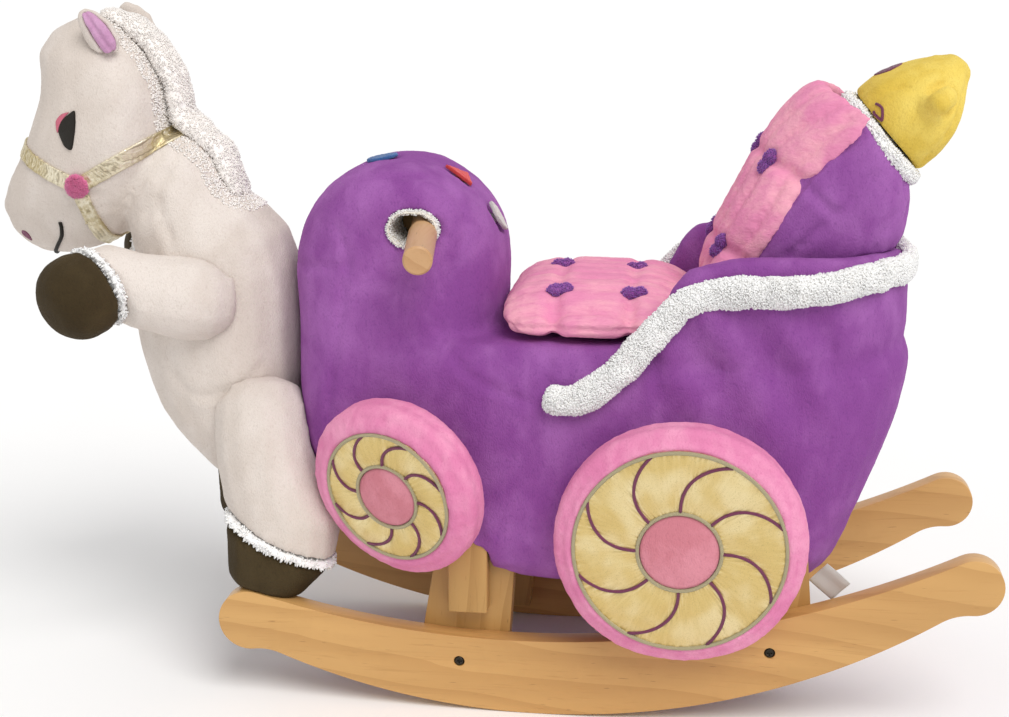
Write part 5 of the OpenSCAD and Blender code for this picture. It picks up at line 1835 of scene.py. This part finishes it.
@dataclass
class Horse:
    """The stuffed horse: body and head, limbs, hooves, cuffs, mane, tail, ears, face and bridle."""

    fine: float = 0.00016
    strap: float = 0.0125
    ear_size: float = 0.75
    ear_shift: Point = (0.0045, -0.003, 0.0105)
    clasp: Point = (-0.3205, 0.0, 0.404)

    def skin(self) -> bpy.types.Object:
        """Body and head as one skin, with the seam round the neck."""
        piece = soft_form("horse_skin", ["horse_body", "horse_head"], 0.004, 12)
        points = vertices(piece)
        points[:, 0] += 0.0045 * (1 - smooth(points[:, 0], -0.385, -0.325)) * (points[:, 2] > 0.33)
        brow = np.linalg.norm(points - np.array((-0.373, 0.0, 0.474)), axis=1)
        points[:, 0] += 0.003 * np.exp(-((brow / 0.030) ** 2))
        place(piece, points)
        neck = [
            (-234, -13, 451), (-242, -22, 438), (-248, -38, 420), (-257, -43, 401), (-258, -45, 392),
            (-254, -48, 381), (-248, -51, 369), (-245, -54, 358),
        ]
        chin = [(-296, -40, 370), (-289, -44, 375), (-275, -48, 381), (-260, -50, 392)]
        throat = [(-313, -52, 397), (-296, -52, 396), (-281, -52, 399), (-268, -50, 407)]
        belly = [
            (-262, -52, 300), (-250, -56, 262), (-236, -60, 240), (-216, -62, 238), (-190, -60, 250),
            (-176, -52, 262),
        ]
        seams = (
            (neck, Seam(0.003, 0.0018, 0.4)),
            (chin, Seam(0.0055, 0.0065, 0.2)),
            (throat, Seam(0.003, 0.0022)),
            (belly, Seam(0.003, 0.0015)),
        )
        for path, seam in seams:
            sew_both(piece, path, seam)
        points = vertices(piece)
        sew(piece, (np.abs(points[:, 1]) + 0.05 * (points[:, 0] > -0.24), points[:, 2]), Seam(0.0035, 0.0018))
        nodes = ["horse_body", "horse_head"]
        upholster(piece, WHITE, nodes, Rumple(0.0012, 13.0, 1.0, self.fine))
        return piece

    def limbs(self) -> None:
        """The four legs, each stuffed and sewn on."""
        for node in ("foreleg_left", "foreleg_right", "hindleg_left", "hindleg_right"):
            piece = soft_form(node + "_plush", [node], 0.0036, 10)
            rumple = Rumple(0.0012, 16.0, 2.0 + len(node), self.fine)
            upholster(piece, WHITE, [node], rumple)

    def hooves(self) -> None:
        """The four dark plush hooves."""
        piece = soft_form("hoof_plush", ["hooves"], 0.0034, 8)
        upholster(piece, BROWN, ["hooves"], Rumple(0.0008, 22.0, 6.0, 0.00015))

    def fringe(self, skin: bpy.types.Object) -> None:
        """Ragged white fur round the top of each hoof, and the fuzzy mane.

        Args:
            skin: The body and head, where the mane spreads onto them.
        """
        jobs = (
            ("leg_cuffs", FUR, "white_fur", 4600, Locks(0.0024, 0.0014, (-0.1, 0.0, -0.2), 0.5), 31),
            ("horse_mane", MANE_FUR, "white_fur", 5200, Locks(0.0016, 0.0012, (0.15, 0.0, -0.3), 0.5), 32),
            ("horse_tail", MANE_FUR, "lilac_plush", 2200, Locks(0.0060, 0.0012, (0.2, 0.0, -0.8), 0.35), 33),
        )
        for node, finish, slot, count, locks, seed in jobs:
            core = soft_form(node + "_backing", [node], 0.003, 8)
            if node == "leg_cuffs":
                push_out(core, -0.0012)
            ruffle(core, 0.0014, 60.0, seed)
            roots, out = sample(core, count, seed)
            if node == "horse_mane":
                more, ways = sample(skin, 60000, seed + 1)
                near = tree_of(core)
                reach = np.array([near.find_nearest(Vector(p))[3] for p in more])
                kept = (reach < 0.017) & (reach > 0.001)
                roots, out = np.concatenate([roots, more[kept]]), np.concatenate([out, ways[kept]])
            pile = grow_locks(node + "_pile", roots, out, locks, seed)
            note(core, "lock", np.full(len(core.data.vertices), 0.85))
            report(core, finish, [node])
            report(pile, finish)

    def ears(self) -> None:
        """Small folded ears: white outside, lilac inside with a fold along the middle."""
        roots: dict[int, np.ndarray] = {}
        jobs = (("horse_ears", WHITE, "white_plush"), ("ear_linings", LILAC, "lilac_plush"))
        for node, finish, slot in jobs:
            piece = soft_form(node + "_plush", [node], 0.0016, 5)
            points = vertices(piece)
            for side in (-1, 1):
                mine = points[:, 1] * side > 0
                ear = points[mine]
                if side not in roots:
                    roots[side] = ear[ear[:, 2] < ear[:, 2].min() + 0.006].mean(axis=0)
                middle = ear.mean(axis=0)
                if node == "ear_linings":
                    flat = np.linalg.svd(ear - middle, full_matrices=False)[2]
                    ear = ear - ((ear - middle) @ flat[1])[:, None] * flat[1] * 0.10
                    fold = np.exp(-((((ear - middle) @ flat[1]) / 0.0026) ** 2))
                    ear = ear - vertex_normals(piece)[mine] * (0.0022 * fold)[:, None]
                move = np.array(self.ear_shift) * (1, side, 1)
                points[mine] = roots[side] + (ear - roots[side]) * self.ear_size + move
            place(piece, points)
            ruffle(piece, 0.0004, 120.0, 3.0)
            report(piece, finish, [node])

    def face(self, skin: bpy.types.Object) -> None:
        """Stitched eyes, nostrils and mouth.

        Args:
            skin: The body and head that they are sewn to.
        """
        surface = tree_of(skin)
        eye = [
            (-318, 464), (-324, 460.5), (-329.5, 456), (-332.5, 448.5), (-330, 441), (-327, 435.5),
            (-322, 433.5), (-319.5, 439), (-317.5, 449), (-317, 458.5),
        ]
        lid = [
            (-323, 462.5), (-329.5, 461), (-334.5, 457), (-335.5, 453), (-333.5, 446.5), (-331.5, 450.5),
            (-328.5, 456), (-325.5, 460),
        ]
        nostril = [
            (-383.5, 23.5, 360.5), (-378.5, 26, 360), (-376, 24, 356.5), (-376.5, 20, 351.5), (-380, 19, 353),
            (-384, 19.5, 356.5),
        ]
        mouth = [
            (-342, 40, 372.5), (-342, 38, 367.5), (-344, 34, 360), (-350, 27, 352), (-357, 14, 346),
            (-360, 0, 345),
        ]
        for side in (-1, 1):
            tag = word(side)
            near = ["horse_eyes"] if side < 0 else []
            outline = metres([(x, side * 56, z) for x, z in eye])
            report(patch_on("eye_" + tag, surface, outline, 0.0013), BLACK_THREAD, near)
            outline = metres([(x, side * 55, z) for x, z in lid])
            report(patch_on("eyelid_" + tag, surface, outline, 0.0008, 0.0002), PINK_THREAD)
            outline = metres([(x, side * y, z) for x, y, z in nostril])
            report(patch_on("nostril_" + tag, surface, outline, 0.0006, 0.0003), MAROON)
            line = laid_on(surface, smooth_path(metres([(x, side * y, z) for x, y, z in mouth])), 0.0004)
            report(tube("mouth_" + tag, line, 0.0016), BLACK_THREAD)

    def band(
        self, skin: bpy.types.Object, at: Vector, across: Vector, keep: Callable[[Vector], bool], name: str
    ) -> bpy.types.Object:
        """A strap cut from the head's own surface between two planes, raised and corded.

        Args:
            skin: The head's surface.
            at: A point on the strap's middle plane.
            across: Normal of that plane.
            keep: Whether a place on the head belongs to the strap.
            name: Name of the strap.

        Returns:
            The strap.
        """
        bm = bmesh.new()
        bm.from_mesh(skin.data)
        middles = [(f, f.calc_center_median()) for f in bm.faces]
        spare = [f for f, where in middles if abs((where - at) @ across) > self.strap or not keep(where)]
        bmesh.ops.delete(bm, geom=spare, context="FACES")
        for sign in (-1, 1):
            edge = at + across * (sign * self.strap / 2)
            whole = bm.verts[:] + bm.edges[:] + bm.faces[:]
            bmesh.ops.bisect_plane(bm, geom=whole, plane_co=edge, plane_no=across * sign, clear_outer=True)
        bm.normal_update()
        bmesh.ops.subdivide_edges(bm, edges=bm.edges[:], cuts=1, use_grid_fill=True)
        bm.normal_update()
        way = across.cross(Vector((0, 1, 0)))
        for v in bm.verts:
            level = abs((v.co - at) @ across) / (self.strap / 2)
            run = (v.co - at) @ way
            wrinkle = noise.noise(Vector((run * 330, level * 0.8, v.co.y * 330)))
            bead = math.exp(-(((level - 0.86) / 0.12) ** 2))
            v.co += v.normal * (0.0013 + 0.0006 * wrinkle * (1 - bead) + 0.0005 * bead)
        strap = from_bmesh(name, bm)
        thick = strap.modifiers.new("Solidify", "SOLIDIFY")
        thick.thickness = 0.0022
        thick.offset = -1
        applied(strap)
        strap.data.shade_smooth()
        gap = vertices(strap) - np.array(at)
        level = np.abs(gap @ np.array(across)) / (self.strap / 2)
        run = gap @ np.array(way) + gap[:, 1]
        note(strap, "weave", np.stack([run, level * self.strap, 0 * level], axis=1))
        # How strongly the foil's painted crinkle highlights and painted crease shade show, less at the
        # strap's edges.
        note(strap, "gather", 1 - 0.6 * smooth(level, 0.7, 0.9))
        return strap

    def bridle(self, skin: bpy.types.Object) -> None:
        """Noseband, chin strap and cheek straps of crinkled metallic cloth, which meet at the pompoms."""
        clasp = Vector(self.clasp)
        straps = (
            ("noseband", Vector((0.914, 0, -0.406)), -1, lambda p: p.x < -0.285 and 0.37 < p.z < 0.47),
            ("chin_strap", Vector((0.237, 0, -0.971)), 1, lambda p: p.x < -0.29 and p.z > 0.335),
            ("cheek_strap", Vector((0.869, 0, 0.495)), 1, lambda p: p.x < -0.2 and p.z > 0.39),
        )
        for name, way, sign, near in straps:
            across = Vector((-way.z, 0, way.x))

            def keep(p: Vector) -> bool:
                """Whether a place is on this strap's side of the pompom."""
                return near(p) and sign * ((p - clasp) @ way) > -0.002

            strap = self.band(skin, clasp, across, keep, name)
            report(strap, SILVER, ["bridle"] if name == "noseband" else [])

    def pompoms(self) -> None:
        """Round woollen pompoms."""
        core = soft_form("pompom_core", ["pompoms"], 0.0018, 4)
        middle = np.array(self.clasp) * (1, 0, 1)
        points = vertices(core)
        place(core, points + (middle - points.mean(axis=0)) * (1, 0, 1))
        roots, out = sample(core, 5200, 41)
        inner = roots - out * 0.0012
        wool = grow_locks("pompom_wool", inner, out, Locks(0.0028, 0.0007, (0.0, 0.0, 0.0), 0.35), 41)
        note(core, "lock", np.full(len(core.data.vertices), 0.5))
        push_out(core, -0.0008)
        report(core, PINK_FUR, ["pompoms"])
        report(wool, PINK_FUR)

    def build(self) -> None:
        """Builds the whole horse."""
        skin = self.skin()
        self.limbs()
        self.hooves()
        self.fringe(skin)
        self.ears()
        self.face(skin)
        self.bridle(skin)
        self.pompoms()


# ---------------------------------------------------------------- studio


@dataclass
class Studio:
    """Camera, pale floor and plain soft light."""

    eye: Point = (0.1951, -1.3690, 0.6225)
    pitch: float = 14.66
    yaw: float = 7.58
    lens: float = 62.44
    sun: float = 1.9
    sky: float = 0.62
    floor_half: float = 40.0

    def camera(self) -> None:
        """The camera, level and looking slightly down."""
        data = bpy.data.cameras.new("camera")
        data.lens = self.lens
        data.sensor_width = 36.0
        data.clip_end = 100.0
        camera = linked("camera", data)
        camera.location = self.eye
        camera.rotation_euler = (math.radians(90 - self.pitch), 0.0, math.radians(self.yaw))
        bpy.context.scene.camera = camera

    def floor(self) -> None:
        """A wide pale floor that keeps the toy's shadow."""
        far = self.floor_half
        corners = [(-far, -far, 0), (far, -far, 0), (far, far, 0), (-far, far, 0)]
        floor = new_piece("floor", corners, [(0, 1, 2, 3)])
        sheet = Sheet("pale_floor")
        w = sheet.wiring
        where = w.place()
        tone = w.blend(w.cloud(where, 3.0, 3.0), linear("F7F7F7"), linear("FBFBFB"))
        sheet.wire(tone, w.maths("ADD", w.cloud(where, 6.0), 0.4), w.cloud(where, 500.0), 0.00002)
        sheet.plain(Specular_IOR_Level=0.0)
        floor.data.materials.append(sheet.material)
        floor.location.z = -0.0002

    def light(self) -> None:
        """An even sky and one broad lamp from above the near side."""
        world = bpy.data.worlds.new("sky")
        bpy.context.scene.world = world
        world.use_nodes = True
        w = Wiring(world.node_tree)
        world.node_tree.nodes.clear()
        path = w.add("ShaderNodeLightPath").outputs
        seen = w.maths("MAXIMUM", path["Is Camera Ray"], path["Is Glossy Ray"])
        seen = w.maths("MAXIMUM", seen, path["Is Transmission Ray"])
        strength = w.maths("ADD", w.maths("MULTIPLY", seen, 1.0 - self.sky), self.sky)
        glow = w.add("ShaderNodeBackground", {"Color": (1, 1, 1, 1), "Strength": strength})
        out = w.add("ShaderNodeOutputWorld")
        world.node_tree.links.new(glow.outputs[0], out.inputs[0])
        lamp = bpy.data.lights.new("softbox", "SUN")
        lamp.energy = self.sun
        lamp.angle = math.radians(38)
        lamp.color = (1.0, 0.985, 0.965)
        linked("softbox", lamp).rotation_euler = (math.radians(38), math.radians(12), math.radians(20))

    def build(self) -> None:
        """Sets the whole stage."""
        bpy.context.scene.view_settings.view_transform = "Standard"
        self.floor()
        self.light()


def main() -> None:
    """Builds the stage and every sub-assembly in order.

    The vector noise that swirls the fur takes its offsets from the clock until it is given a seed.
    """
    logging.basicConfig(level=logging.INFO, format="%(message)s")
    noise.seed_set(NOISE_SEED)
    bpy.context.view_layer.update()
    studio = Studio()
    studio.camera()
    for part in (WoodenFrame(), SoundUnit(), Carriage(), Cushions(), Crown(), Wheels(), Horse(), studio):
        part.build()
        LOG.info("%s done", type(part).__name__)


if __name__ == "__main__":
    main()
